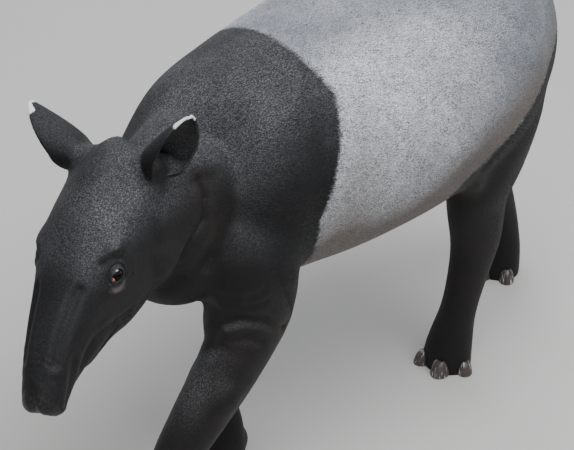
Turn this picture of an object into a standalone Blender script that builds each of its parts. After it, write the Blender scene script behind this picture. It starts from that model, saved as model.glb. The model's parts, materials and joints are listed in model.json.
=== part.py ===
"""A Malayan tapir at life size, walking with its head low and turned a little to its left.

+X points the way the tapir walks, +Y to its left and +Z up, with the soles at Z = 0. The flesh is lofted from
measured cross-sections, fused into one body and parted again with thin cuts. Eyes, ears and hooves are pieces
of their own that meet the flesh with a hair's gap.
"""

import math
from collections import namedtuple

import bmesh
import bpy
from mathutils import Euler, Matrix, Vector

GAP = 0.0003  # clearance between touching pieces
WELD = 0.00003
VOXEL = 0.0065  # grain of the fused flesh
DECIMATE_TO = 0.0345  # share of the fused faces kept
PLAIN_THINNING = 0.0015  # how much more the plain hide is thinned than the head and feet
EYE_AT = Vector((0.010, 0.0765, 0.004))  # the left eye in the head's frame, the right one mirrored
EYE_RADIUS = 0.0145
LID_OPENING = (0.0135, 0.0095)  # half length and half height of the gap between the lids
EAR_LENGTH = 0.150
EAR_THICKNESS = 0.005

Station = namedtuple("Station", "x y z wide above below square", defaults=(1.0,))


def clear_scene():
    for thing in list(bpy.data.objects):
        bpy.data.objects.remove(thing, do_unlink=True)


def new_object(name, mesh):
    thing = bpy.data.objects.new(name, mesh)
    bpy.context.scene.collection.objects.link(thing)
    return thing


def spline(stations, per):
    """Catmull-Rom points through the stations, `per` of them in each span."""
    rows = [[float(v) for v in s] for s in stations]
    rows = [[2 * a - b for a, b in zip(rows[0], rows[1])]] + rows + [[2 * a - b for a, b in zip(rows[-1], rows[-2])]]
    out = []
    for i in range(1, len(rows) - 2):
        p0, p1, p2, p3 = rows[i - 1:i + 3]
        for k in range(per):
            t = k / per
            out.append([0.5 * (2 * b + (c - a) * t + (2 * a - 5 * b + 4 * c - d) * t * t
                               + (3 * b - a - 3 * c + d) * t ** 3)
                        for a, b, c, d in zip(p0, p1, p2, p3)])
    out.append(rows[-2])
    return out


def loft(name, stations, sides=28, per=4, up=Vector((0, 0, 1))):
    """A closed tube through oval sections set square to the line of their centres."""
    rows = spline(stations, per)
    centres = [Vector(r[:3]) for r in rows]
    bm = bmesh.new()
    rings = []
    for i, row in enumerate(rows):
        ahead = (centres[min(i + 1, len(rows) - 1)] - centres[max(i - 1, 0)]).normalized()
        left = up.cross(ahead).normalized()
        above = ahead.cross(left)
        wide, high, low, square = (max(v, 0.002) for v in row[3:7])
        ring = []
        for k in range(sides):
            a = 2 * math.pi * k / sides
            c, s = math.cos(a), math.sin(a)
            across = math.copysign(abs(c) ** square, c) * wide
            rise = math.copysign(abs(s) ** square, s) * (high if s > 0 else low)
            ring.append(bm.verts.new(centres[i] + left * across + above * rise))
        rings.append(ring)
    for a, b in zip(rings, rings[1:]):
        for k in range(sides):
            bm.faces.new((a[k], a[(k + 1) % sides], b[(k + 1) % sides], b[k]))
    for ring, centre in ((rings[0], centres[0]), (rings[-1], centres[-1])):
        hub = bm.verts.new(centre)
        for k in range(sides):
            bm.faces.new((ring[k], ring[(k + 1) % sides], hub))
    bmesh.ops.recalc_face_normals(bm, faces=bm.faces)
    mesh = bpy.data.meshes.new(name)
    bm.to_mesh(mesh)
    bm.free()
    return new_object(name, mesh)


def ellipsoid(name, at, radii, turn=(0, 0, 0), rings=14, sides=22):
    """A ball squashed to three radii, turned by degrees about X, Y and Z."""
    bm = bmesh.new()
    bmesh.ops.create_uvsphere(bm, u_segments=sides, v_segments=rings, radius=1)
    angles = [math.radians(a) for a in turn]
    place = Matrix.LocRotScale(Vector(at), Euler(angles), Vector(radii))
    bmesh.ops.transform(bm, matrix=place, verts=bm.verts)
    mesh = bpy.data.meshes.new(name)
    bm.to_mesh(mesh)
    bm.free()
    return new_object(name, mesh)


# The trunk, from the root of the tail to the breast: X, Y, Z of the centre, half width, height above and below it.
TRUNK = [
    Station(-0.925, 0, 0.775, 0.04, 0.05, 0.06),
    Station(-0.895, 0, 0.775, 0.098, 0.115, 0.115),
    Station(-0.84, 0, 0.775, 0.155, 0.175, 0.175),
    Station(-0.75, 0, 0.772, 0.208, 0.228, 0.22),
    Station(-0.64, 0, 0.77, 0.255, 0.262, 0.262),
    Station(-0.46, 0, 0.762, 0.266, 0.27, 0.282),
    Station(-0.26, 0, 0.755, 0.25, 0.265, 0.275),
    Station(-0.09, 0, 0.755, 0.222, 0.25, 0.255),
    Station(0.04, 0, 0.755, 0.192, 0.228, 0.25),
    Station(0.13, 0.0, 0.74, 0.152, 0.165, 0.225),
    Station(0.20, 0.015, 0.72, 0.12, 0.12, 0.17),
    Station(0.24, 0.025, 0.71, 0.06, 0.06, 0.09),
]
NECK = [
    Station(-0.08, 0, 0.80, 0.15, 0.185, 0.16),
    Station(0.04, 0.01, 0.80, 0.135, 0.155, 0.18),
    Station(0.15, 0.03, 0.80, 0.116, 0.122, 0.20),
    Station(0.25, 0.05, 0.81, 0.104, 0.108, 0.18),
    Station(0.35, 0.075, 0.82, 0.095, 0.095, 0.14),
]

# The head, in its own frame: +X along the skull towards the snout from a point midway between the eyes.
HEAD_AT = Vector((0.455, 0.092, 0.79))
HEAD_TURN = (10.5, 27, 20)  # roll, nose down, turned to the left, in degrees
HEAD = [
    Station(-0.235, 0, 0.0, 0.080, 0.065, 0.085),
    Station(-0.19, 0, -0.005, 0.098, 0.085, 0.12),
    Station(-0.12, 0, -0.01, 0.102, 0.092, 0.16),
    Station(-0.05, 0, -0.01, 0.098, 0.088, 0.172, 0.9),
    Station(0.02, 0, -0.015, 0.086, 0.076, 0.155, 0.9),
    Station(0.08, 0, -0.02, 0.069, 0.064, 0.125, 0.9),
    Station(0.14, 0, -0.03, 0.056, 0.056, 0.095, 0.9),
    Station(0.19, 0, -0.045, 0.048, 0.05, 0.065, 0.95),
    Station(0.235, 0, -0.065, 0.042, 0.044, 0.046),
    Station(0.252, 0, -0.076, 0.038, 0.038, 0.040),
    Station(0.264, 0, -0.084, 0.026, 0.026, 0.029),
]

# Each leg from the trunk to the ground: centre, half width across, half depth ahead and behind.
LEGS = {
    "foreleg_left": [
        Station(-0.01, 0.11, 0.80, 0.07, 0.10, 0.12),
        Station(0.06, 0.135, 0.66, 0.082, 0.105, 0.125),
        Station(0.060, 0.138, 0.54, 0.074, 0.082, 0.098),
        Station(0.125, 0.132, 0.43, 0.062, 0.070, 0.074),
        Station(0.20, 0.12, 0.335, 0.054, 0.058, 0.066),
        Station(0.258, 0.105, 0.25, 0.047, 0.047, 0.047),
        Station(0.29, 0.10, 0.15, 0.042, 0.038, 0.042),
        Station(0.305, 0.095, 0.08, 0.048, 0.045, 0.048),
        Station(0.32, 0.095, 0.03, 0.054, 0.052, 0.052),
        Station(0.325, 0.095, -0.012, 0.054, 0.052, 0.052),
    ],
    "foreleg_right": [
        Station(-0.05, -0.10, 0.80, 0.07, 0.09, 0.11),
        Station(-0.04, -0.115, 0.66, 0.075, 0.09, 0.105),
        Station(-0.104, -0.108, 0.54, 0.064, 0.070, 0.080),
        Station(-0.116, -0.104, 0.44, 0.054, 0.054, 0.062),
        Station(-0.104, -0.100, 0.34, 0.047, 0.046, 0.050),
        Station(-0.085, -0.095, 0.25, 0.045, 0.043, 0.043),
        Station(-0.065, -0.09, 0.15, 0.041, 0.037, 0.040),
        Station(-0.065, -0.085, 0.08, 0.048, 0.045, 0.048),
        Station(-0.06, -0.085, 0.03, 0.054, 0.052, 0.052),
        Station(-0.055, -0.085, -0.012, 0.054, 0.052, 0.052),
    ],
    "hindleg_left": [
        Station(-0.66, 0.12, 0.82, 0.10, 0.14, 0.11),
        Station(-0.65, 0.125, 0.68, 0.10, 0.145, 0.10),
        Station(-0.645, 0.117, 0.55, 0.083, 0.118, 0.074),
        Station(-0.655, 0.10, 0.44, 0.060, 0.084, 0.074),
        Station(-0.672, 0.09, 0.335, 0.052, 0.066, 0.064),
        Station(-0.665, 0.08, 0.25, 0.044, 0.052, 0.052),
        Station(-0.65, 0.07, 0.16, 0.042, 0.042, 0.042),
        Station(-0.648, 0.055, 0.085, 0.050, 0.045, 0.046),
        Station(-0.645, 0.047, 0.03, 0.056, 0.050, 0.050),
        Station(-0.643, 0.047, -0.012, 0.056, 0.050, 0.050),
    ],
    "hindleg_right": [
        Station(-0.66, -0.12, 0.82, 0.10, 0.15, 0.13),
        Station(-0.67, -0.125, 0.68, 0.10, 0.15, 0.125),
        Station(-0.715, -0.12, 0.55, 0.085, 0.12, 0.10),
        Station(-0.830, -0.115, 0.44, 0.060, 0.084, 0.066),
        Station(-0.928, -0.113, 0.345, 0.050, 0.062, 0.054),
        Station(-0.982, -0.113, 0.25, 0.044, 0.048, 0.046),
        Station(-1.018, -0.115, 0.16, 0.042, 0.042, 0.042),
        Station(-1.026, -0.116, 0.085, 0.050, 0.046, 0.046),
        Station(-1.020, -0.116, 0.03, 0.056, 0.050, 0.050),
        Station(-1.017, -0.116, -0.012, 0.056, 0.050, 0.050),
    ],
}

# Rounded masses under the hide: name, centre, radii, turn about X, Y and Z in degrees.
MUSCLES = [
    ("shoulder_left", (-0.01, 0.13, 0.76), (0.15, 0.085, 0.20), (0, -18, 0)),
    ("shoulder_right", (-0.05, -0.125, 0.74), (0.14, 0.08, 0.18), (0, -8, 0)),
    ("haunch_left", (-0.645, 0.138, 0.78), (0.14, 0.096, 0.18), (0, 10, 0)),
    ("haunch_right", (-0.65, -0.14, 0.77), (0.15, 0.10, 0.19), (0, 22, 0)),
    ("breast", (0.17, 0.03, 0.665), (0.12, 0.12, 0.105), (0, 0, 0)),
    ("arm_left", (0.100, 0.132, 0.55), (0.074, 0.064, 0.110), (0, -20, 0)),
    ("neck_left", (0.22, 0.092, 0.795), (0.14, 0.066, 0.14), (0, -10, -10)),
    ("neck_crest", (0.17, 0.02, 0.86), (0.17, 0.075, 0.078), (0, 12, 8)),
    ("hip_left", (-0.60, 0.135, 0.925), (0.10, 0.065, 0.055), (0, 8, 20)),
    ("hip_right", (-0.62, -0.130, 0.92), (0.10, 0.060, 0.05), (0, 8, -20)),
    ("stifle_left", (-0.560, 0.135, 0.595), (0.062, 0.060, 0.090), (0, 12, 0)),
    ("stifle_right", (-0.625, -0.135, 0.60), (0.070, 0.062, 0.090), (0, 30, 0)),
    ("hock_left", (-0.700, 0.084, 0.278), (0.032, 0.026, 0.046), (0, 6, 0)),
    ("hock_right", (-0.998, -0.113, 0.292), (0.032, 0.026, 0.050), (0, 28, 0)),
    ("knee_left", (0.272, 0.104, 0.232), (0.046, 0.047, 0.044), (0, -10, 0)),
    ("knee_right", (-0.074, -0.094, 0.235), (0.044, 0.046, 0.044), (0, 0, 0)),
    ("forearm_left", (0.160, 0.130, 0.400), (0.058, 0.062, 0.100), (0, -38, 0)),
    ("forearm_right", (-0.108, -0.106, 0.405), (0.056, 0.056, 0.095), (0, 4, 0)),
    ("elbow_point_right", (-0.150, -0.112, 0.520), (0.045, 0.045, 0.050), (0, 20, 0)),
    ("heel_fore_left", (0.292, 0.092, 0.030), (0.034, 0.040, 0.036), (0, 0, 0)),
    ("heel_fore_right", (-0.090, -0.082, 0.030), (0.034, 0.040, 0.036), (0, 0, 0)),
    ("heel_hind_left", (-0.672, 0.038, 0.030), (0.034, 0.038, 0.036), (0, 0, 20)),
    ("heel_hind_right", (-1.046, -0.114, 0.030), (0.034, 0.038, 0.036), (0, 0, 0)),
    ("seat_left", (-0.825, 0.075, 0.775), (0.065, 0.07, 0.12), (0, 12, 0)),
    ("seat_right", (-0.825, -0.078, 0.77), (0.065, 0.07, 0.12), (0, 12, 0)),
]

# Masses that shape the head, in its own frame.
FACE = [
    ("brow_left", (-0.018, 0.066, 0.030), (0.048, 0.026, 0.022), (10, 8, -8)),
    ("brow_right", (-0.018, -0.066, 0.030), (0.048, 0.026, 0.022), (-10, 8, 8)),
    ("orbit_left", (-0.004, 0.064, 0.004), (0.046, 0.028, 0.038), (0, -12, -8)),
    ("orbit_right", (-0.004, -0.064, 0.004), (0.046, 0.028, 0.038), (0, -12, 8)),
    ("nose_left", (0.247, 0.0215, -0.074), (0.022, 0.0195, 0.032), (0, 30, 0)),
    ("nose_right", (0.247, -0.0215, -0.074), (0.022, 0.0195, 0.032), (0, 30, 0)),
    ("cheek_left", (-0.105, 0.062, -0.085), (0.075, 0.048, 0.075), (0, 0, 0)),
    ("cheek_right", (-0.105, -0.062, -0.085), (0.075, 0.048, 0.075), (0, 0, 0)),
    ("crown", (-0.13, 0, 0.046), (0.12, 0.055, 0.044), (0, 5, 0)),
    ("lip_left", (0.10, 0.040, -0.060), (0.085, 0.024, 0.032), (0, 12, -14)),
    ("lip_right", (0.10, -0.040, -0.060), (0.085, 0.024, 0.032), (0, 12, 14)),
    ("chin", (0.105, 0, -0.115), (0.050, 0.030, 0.024), (0, -12, 0)),
    ("ear_root_left", (-0.195, 0.068, 0.035), (0.036, 0.036, 0.040), (0, 0, 0)),
    ("ear_root_right", (-0.195, -0.068, 0.035), (0.036, 0.036, 0.040), (0, 0, 0)),
]

# Toes of one foot seen from above: how far ahead and to the side of the foot's centre, splay, scale.
FORE_TOES = [(0.040, 0.001, 2, 0.98), (0.019, 0.043, 34, 0.82), (0.017, -0.041, -34, 0.82), (-0.024, 0.056, 70, 0.52)]
HIND_TOES = [(0.041, 0.0, 0, 1.04), (0.018, 0.044, 36, 0.88), (0.017, -0.047, -42, 0.88)]
# Foot: toes, centre on the ground, heading in degrees, side its small toe is on.
FEET = {
    "fore_left": (FORE_TOES, (0.322, 0.095), 8, 1),
    "fore_right": (FORE_TOES, (-0.057, -0.085), -6, -1),
    "hind_left": (HIND_TOES, (-0.645, 0.047), 20, 1),
    "hind_right": (HIND_TOES, (-1.019, -0.116), -4, -1),
}

# Where the black fore part meets the pale saddle, on the left and the right side: X and Z from the top.
SADDLE_FRONT_LEFT = [(-0.10, 1.10), (-0.115, 0.98), (-0.13, 0.93), (-0.11, 0.865), (-0.078, 0.78), (-0.045, 0.70),
                     (-0.06, 0.62), (-0.085, 0.40)]
SADDLE_FRONT_RIGHT = [(-0.10, 1.10), (-0.115, 0.98), (-0.13, 0.93), (-0.13, 0.865), (-0.145, 0.78), (-0.16, 0.70),
                      (-0.165, 0.62), (-0.165, 0.40)]
# The same behind, from under the tail round the thigh to the groin.
SADDLE_REAR = [(-1.20, 0.80), (-0.90, 0.80), (-0.80, 0.795), (-0.675, 0.763), (-0.583, 0.70), (-0.51, 0.668),
               (-0.455, 0.63), (-0.435, 0.57), (-0.45, 0.35)]

TAIL = [
    Station(-0.84, 0, 0.835, 0.036, 0.034, 0.036),
    Station(-0.895, 0, 0.83, 0.034, 0.032, 0.034),
    Station(-0.930, 0, 0.80, 0.028, 0.025, 0.028),
    Station(-0.948, 0, 0.755, 0.021, 0.017, 0.020),
    Station(-0.954, 0, 0.712, 0.010, 0.009, 0.010),
]
# In the head's frame: the line of the mouth from under the snout to its corner and down, and the left nostril.
MOUTH = [(0.185, -0.20), (0.168, -0.125), (0.13, -0.108), (0.09, -0.098), (0.055, -0.094), (0.030, -0.11),
         (0.012, -0.21)]
NOSTRIL_AT = (0.264, 0.0175, -0.079)
NOSTRIL_RADII = (0.020, 0.0062, 0.0115)
NOSTRIL_TURN = (18, 35, 8)


def head_matrix():
    turn = Euler([math.radians(angle) for angle in HEAD_TURN], "XYZ")
    return Matrix.Translation(HEAD_AT) @ turn.to_matrix().to_4x4()


def flesh_pieces():
    """The overlapping masses the flesh is fused from."""
    pieces = [loft("trunk", TRUNK), loft("neck", NECK)]
    head = [loft("head", HEAD)]
    for name, at, radii, turn in FACE:
        head.append(ellipsoid(name, at, radii, turn))
    for piece in head:
        piece.data.transform(head_matrix())
    pieces += head
    for name, stations in LEGS.items():
        pieces.append(loft(name, stations, up=Vector((-1, 0, 0))))
    for name, at, radii, turn in MUSCLES:
        pieces.append(ellipsoid(name, at, radii, turn))
    for name, (toes, centre, heading, side) in FEET.items():
        for i, (ahead, aside, splay, scale) in enumerate(toes):
            place = foot_matrix(centre, heading) @ toe_matrix(ahead, aside * side, splay * side)
            toe = ellipsoid(f"toe_{name}_{i}", (-0.018, 0, 0.021 * scale),
                            (0.031 * scale, 0.0195 * scale, 0.027 * scale), (0, 14, 0))
            toe.data.transform(place)
            pieces.append(toe)
    return pieces


def foot_matrix(centre, heading):
    return Matrix.Translation((*centre, 0)) @ Matrix.Rotation(math.radians(heading), 4, "Z")


def toe_matrix(ahead, aside, splay):
    return Matrix.Translation((ahead, aside, 0)) @ Matrix.Rotation(math.radians(splay), 4, "Z")


def fuse(name, pieces):
    """Joins the pieces into one closed skin, softer over the trunk, and thins its plain stretches."""
    bm = bmesh.new()
    for piece in pieces:
        bm.from_mesh(piece.data)
        bpy.data.objects.remove(piece)
    mesh = bpy.data.meshes.new(name)
    bm.to_mesh(mesh)
    bm.free()
    body = new_object(name, mesh)
    remesh = body.modifiers.new("Remesh", "REMESH")
    remesh.mode = "VOXEL"
    remesh.voxel_size = VOXEL
    smooth = body.modifiers.new("Smooth", "SMOOTH")
    smooth.factor = 0.5
    smooth.iterations = 10
    bpy.context.view_layer.update()
    apply_modifiers(body)
    plain = body.vertex_groups.new(name="plain")
    torso = body.vertex_groups.new(name="torso")
    face = head_matrix().inverted()
    for vert in body.data.vertices:
        ahead = (face @ vert.co).x
        fine = ahead > -0.22 or vert.co.z < 0.13
        plain.add([vert.index], 0.5 if fine else 1.0, "REPLACE")
        above = min(1.0, max(0.0, (vert.co.z - 0.30) / 0.15))
        behind = min(1.0, max(0.0, (-0.12 - ahead) / 0.08))
        torso.add([vert.index], above * behind, "REPLACE")
    soften = body.modifiers.new("Soften", "SMOOTH")
    soften.factor = 0.5
    soften.iterations = 30
    soften.vertex_group = "torso"
    thin = body.modifiers.new("Decimate", "DECIMATE")
    thin.ratio = DECIMATE_TO
    thin.vertex_group = "plain"
    thin.vertex_group_factor = PLAIN_THINNING
    bpy.context.view_layer.update()
    apply_modifiers(body)
    return body


def apply_modifiers(thing):
    mesh = bpy.data.meshes.new_from_object(thing.evaluated_get(bpy.context.evaluated_depsgraph_get()))
    thing.modifiers.clear()
    thing.data = mesh


def boolean(thing, operation, cutters):
    """Adds or takes away each cutter in turn, then drops them and welds the hairline slivers left behind."""
    for cutter in cutters:
        step = thing.modifiers.new(operation, "BOOLEAN")
        step.operation = operation
        step.object = cutter
    bpy.context.view_layer.update()
    apply_modifiers(thing)
    for cutter in cutters:
        bpy.data.objects.remove(cutter)
    bm = bmesh.new()
    bm.from_mesh(thing.data)
    bmesh.ops.triangulate(bm, faces=[face for face in bm.faces if len(face.verts) > 4])
    bmesh.ops.remove_doubles(bm, verts=bm.verts, dist=WELD)
    bmesh.ops.dissolve_degenerate(bm, edges=bm.edges, dist=WELD)
    bmesh.ops.holes_fill(bm, edges=[edge for edge in bm.edges if edge.is_boundary], sides=4)
    bm.to_mesh(thing.data)
    bm.free()


def swollen(thing, by):
    """A copy of the piece grown by a hair all round."""
    mesh = thing.data.copy()
    bm = bmesh.new()
    bm.from_mesh(mesh)
    bm.normal_update()
    for vert in bm.verts:
        vert.co += vert.normal * vert.calc_shell_factor() * by
    bm.to_mesh(mesh)
    bm.free()
    return new_object(thing.name + "_swollen", mesh)


def sheet(name, lines):
    """A cut one hair thick through rows of points that all have the same count."""
    bm = bmesh.new()
    rows = [[bm.verts.new(p) for p in line] for line in lines]
    for a, b in zip(rows, rows[1:]):
        for i in range(len(a) - 1):
            bm.faces.new((a[i], a[i + 1], b[i + 1], b[i]))
    bmesh.ops.recalc_face_normals(bm, faces=bm.faces)
    mesh = bpy.data.meshes.new(name)
    bm.to_mesh(mesh)
    bm.free()
    cut = new_object(name, mesh)
    thick = cut.modifiers.new("Solidify", "SOLIDIFY")
    thick.thickness = GAP
    thick.offset = 0
    thick.use_even_offset = True
    bpy.context.view_layer.update()
    apply_modifiers(cut)
    return cut


def square_cut(name, at, toward, half):
    """A flat cut through a point, facing a direction, `half` wide each way."""
    turn = Vector(toward).to_track_quat("Z", "Y").to_matrix()
    corners = [[Vector(at) + turn @ Vector((a * half, b * half, 0)) for a in (-1, 1)] for b in (-1, 1)]
    return sheet(name, corners)


def eyeball(name, side):
    """A ball with a slightly fuller clear front."""
    bm = bmesh.new()
    bmesh.ops.create_uvsphere(bm, u_segments=18, v_segments=10, radius=EYE_RADIUS)
    for vert in bm.verts:
        lift = max(0.0, vert.co.z / EYE_RADIUS - 0.75)
        vert.co.z += lift * 0.25 * 0.010
    mesh = bpy.data.meshes.new(name)
    bm.to_mesh(mesh)
    bm.free()
    eye = new_object(name, mesh)
    eye.data.transform(head_matrix() @ eye_place(side) @ Matrix.Rotation(math.radians(-90 * side), 4, "X"))
    return eye


def eye_place(side):
    return (Matrix.Translation((EYE_AT.x, EYE_AT.y * side, EYE_AT.z))
            @ Euler((math.radians(14 * side), math.radians(-14), math.radians(-22 * side))).to_matrix().to_4x4())


def lid_mound(side):
    """The raised lids round one eye."""
    mound = ellipsoid("lids", (0, 0, 0), (0.0210, 0.0178, 0.0180), rings=14, sides=24)
    mound.data.transform(head_matrix() @ eye_place(side))
    return mound


def lid_cutter(name, side):
    """An almond-shaped plug that opens the lids over the eye."""
    length, height = LID_OPENING
    bm = bmesh.new()
    rings = []
    for depth, grow in ((0.005, 0.6), (0.0125, 1.0), (0.030, 1.9)):
        ring = []
        for k in range(20):
            a = 2 * math.pi * k / 20
            c, s = math.cos(a), math.sin(a)
            lift = height * (1 if s > 0 else 0.85) * math.copysign(abs(s) ** 1.15, s)
            ring.append(bm.verts.new((c * length * grow, depth * side, lift * grow)))
        rings.append(ring)
    for a, b in zip(rings, rings[1:]):
        for k in range(20):
            bm.faces.new((a[k], a[(k + 1) % 20], b[(k + 1) % 20], b[k]))
    bm.faces.new(rings[0])
    bm.faces.new(rings[-1])
    bmesh.ops.recalc_face_normals(bm, faces=bm.faces)
    mesh = bpy.data.meshes.new(name)
    bm.to_mesh(mesh)
    bm.free()
    plug = new_object(name, mesh)
    plug.data.transform(head_matrix() @ eye_place(side))
    return plug


def ear(name, side):
    """A cupped leaf whose sides curl forward, nearly closed to a tube at its root."""
    root = Vector((-0.200, 0.062 * side, 0.040))
    axis = Vector((-0.075, 0.112 * side, 0.105)).normalized()
    facing = Vector((0.45, 0.85 * side, -0.20))
    facing = (facing - axis * facing.dot(axis)).normalized()
    aside = axis.cross(facing).normalized()
    # along the ear, half its width, half its curl, how far it spreads to the rear
    profile = [(0.0, 0.030, 150, 0.004), (0.12, 0.040, 122, 0.009), (0.28, 0.049, 94, 0.010),
               (0.45, 0.053, 77, 0.008), (0.62, 0.048, 64, 0.004), (0.77, 0.037, 54, 0.001),
               (0.89, 0.023, 44, 0), (0.965, 0.012, 36, 0), (1.0, 0.004, 30, 0)]
    bm = bmesh.new()
    rows = []
    for t, wide, half, spread in spline(profile, 1):
        angle = math.radians(half)
        radius = wide / math.sin(min(angle, math.pi / 2))
        middle = root + axis * EAR_LENGTH * t + facing * (0.018 * t * t - 0.020 * (1 - t))
        middle += aside * side * spread
        row = []
        for k in range(11):
            a = angle * (k / 5 - 1)
            row.append(bm.verts.new(middle + aside * radius * math.sin(a) + facing * radius * (1 - math.cos(a))))
        rows.append(row)
    for a, b in zip(rows, rows[1:]):
        for k in range(10):
            bm.faces.new((a[k], a[k + 1], b[k + 1], b[k]))
    bmesh.ops.recalc_face_normals(bm, faces=bm.faces)
    mesh = bpy.data.meshes.new(name)
    bm.to_mesh(mesh)
    bm.free()
    leaf = new_object(name, mesh)
    thick = leaf.modifiers.new("Solidify", "SOLIDIFY")
    thick.thickness = EAR_THICKNESS
    thick.offset = 0
    bpy.context.view_layer.update()
    apply_modifiers(leaf)
    leaf.data.transform(head_matrix())
    return leaf


def hoof(name, place, scale):
    """A blunt nail, round in front, standing flat on the ground."""
    bm = bmesh.new()
    rings = []
    for height, ahead, wide in ((0.0, 0.030, 0.0200), (0.004, 0.0305, 0.0205), (0.014, 0.028, 0.0192),
                                (0.026, 0.022, 0.0160), (0.034, 0.014, 0.0105)):
        ring = []
        for k in range(10):
            a = math.pi * (k / 9 - 0.5)
            ring.append(Vector((math.cos(a) ** 0.8 * ahead, math.sin(a) * wide, height)))
        ring += [Vector((-0.010, wide * 0.8, height)), Vector((-0.010, -wide * 0.8, height))]
        rings.append([bm.verts.new(p * scale) for p in ring])
    for a, b in zip(rings, rings[1:]):
        for k in range(12):
            bm.faces.new((a[k], a[(k + 1) % 12], b[(k + 1) % 12], b[k]))
    bm.faces.new(rings[0])
    bm.faces.new(rings[-1])
    bmesh.ops.recalc_face_normals(bm, faces=bm.faces)
    bmesh.ops.triangulate(bm, faces=bm.faces)
    mesh = bpy.data.meshes.new(name)
    bm.to_mesh(mesh)
    bm.free()
    nail = new_object(name, mesh)
    nail.data.transform(place)
    return nail


def hooves():
    made = []
    for name, (toes, centre, heading, side) in FEET.items():
        for i, (ahead, aside, splay, scale) in enumerate(toes):
            place = foot_matrix(centre, heading) @ toe_matrix(ahead, aside * side, splay * side)
            made.append(hoof(f"hoof_{name}_{i + 1}", place, scale))
    return made


def loose_meshes(mesh):
    """The loose closed pieces of a mesh, each as a mesh of its own."""
    bm = bmesh.new()
    bm.from_mesh(mesh)
    left = set(bm.verts)
    made = []
    while left:
        stack = [left.pop()]
        group = list(stack)
        while stack:
            for edge in stack.pop().link_edges:
                for vert in edge.verts:
                    if vert in left:
                        left.discard(vert)
                        group.append(vert)
                        stack.append(vert)
        index = {vert: i for i, vert in enumerate(group)}
        faces = {face for vert in group for face in vert.link_faces}
        piece = bpy.data.meshes.new("piece")
        rows = sorted([index[v] for v in face.verts] for face in faces)
        piece.from_pydata([v.co.copy() for v in group], [], rows)
        piece.update()
        made.append(piece)
    bm.free()
    return made


def part_pieces(body, named):
    """Splits the cut body into its loose pieces and names each by the seed point inside it."""
    taken = {}
    for mesh in loose_meshes(body.data):
        if len(mesh.polygons) < 12:
            continue
        piece = new_object("piece", mesh)
        bpy.context.view_layer.update()
        for name, at in named.items():
            if inside(piece, Vector(at)):
                taken[name] = piece
                break
        else:
            bpy.data.objects.remove(piece)
    bpy.data.objects.remove(body)
    return taken


def inside(piece, point):
    """Counts how often a ray from the point meets the piece's surface."""
    count, at, way = 0, point.copy(), Vector((0.0117, 0.0231, 1)).normalized()
    while True:
        hit, where, _, _ = piece.ray_cast(at, way)
        if not hit:
            return count % 2 == 1
        count += 1
        at = where + way * 1e-5


def material(name, color, roughness):
    made = bpy.data.materials.new(name)
    made.use_nodes = True
    shader = made.node_tree.nodes["Principled BSDF"]
    shader.inputs["Base Color"].default_value = (*color, 1)
    shader.inputs["Roughness"].default_value = roughness
    made.diffuse_color = (*color, 1)
    return made


def keep_largest(thing):
    """Drops every loose crumb but the biggest."""
    pieces = loose_meshes(thing.data)
    thing.data = max(pieces, key=lambda m: len(m.vertices))


def half_space(name):
    """Everything below the ground."""
    bm = bmesh.new()
    bmesh.ops.create_cube(bm, size=2)
    place = Matrix.LocRotScale(Vector((-0.3, 0, -0.1)), None, Vector((1.2, 0.6, 0.1)))
    bmesh.ops.transform(bm, matrix=place, verts=bm.verts)
    mesh = bpy.data.meshes.new(name)
    bm.to_mesh(mesh)
    bm.free()
    return new_object(name, mesh)


def nostril(side):
    hole = ellipsoid("nostril", NOSTRIL_AT, NOSTRIL_RADII, NOSTRIL_TURN)
    hole.data.transform(head_matrix() @ Matrix.Diagonal((1, side, 1, 1)))
    if side < 0:
        hole.data.flip_normals()
    return hole


def cuts():
    """Every cut between two parts of the flesh."""
    head = head_matrix()
    turn = head.to_3x3()
    middle = sheet("hind_middle", [[(x, 0, z) for x, z in SADDLE_REAR], [(x, 0, 0.30) for x, _ in SADDLE_REAR]])
    return [
        sheet("saddle_front", [[(x, y, z) for x, z in line] for y, line in (
            (0.45, SADDLE_FRONT_LEFT), (0.06, SADDLE_FRONT_LEFT), (-0.08, SADDLE_FRONT_RIGHT),
            (-0.45, SADDLE_FRONT_RIGHT))]),
        sheet("saddle_rear", [[(x, y, z) for x, z in SADDLE_REAR] for y in (0.45, -0.45)]),
        middle,
        sheet("lips", [[head @ Vector((x, y, z)) for x, z in MOUTH] for y in (-0.12, 0.12)]),
        square_cut("snout_cut", head @ Vector((0.178, 0, -0.04)), turn @ Vector((1, 0, 0.25)), 0.085),
        square_cut("head_cut", (0.280, 0.035, 0.80), (1, 0.3, 0), 0.25),
        square_cut("neck_cut", (0.14, 0.02, 0.76), (1, 0, 0.55), 0.30),
        square_cut("elbow_left", (0.115, 0.138, 0.455), (0.51, -0.05, -0.86), 0.120),
        square_cut("elbow_right", (-0.100, -0.108, 0.487), (-0.15, 0.02, -1), 0.098),
        square_cut("wrist_left", (0.274, 0.102, 0.195), (0.33, -0.05, -1), 0.08),
        square_cut("wrist_right", (-0.070, -0.092, 0.195), (-0.03, 0.03, -1), 0.08),
        square_cut("hock_left", (-0.660, 0.076, 0.225), (0.15, -0.12, -1), 0.085),
        square_cut("hock_right", (-0.995, -0.114, 0.215), (-0.36, -0.02, -1), 0.085),
    ]


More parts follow.
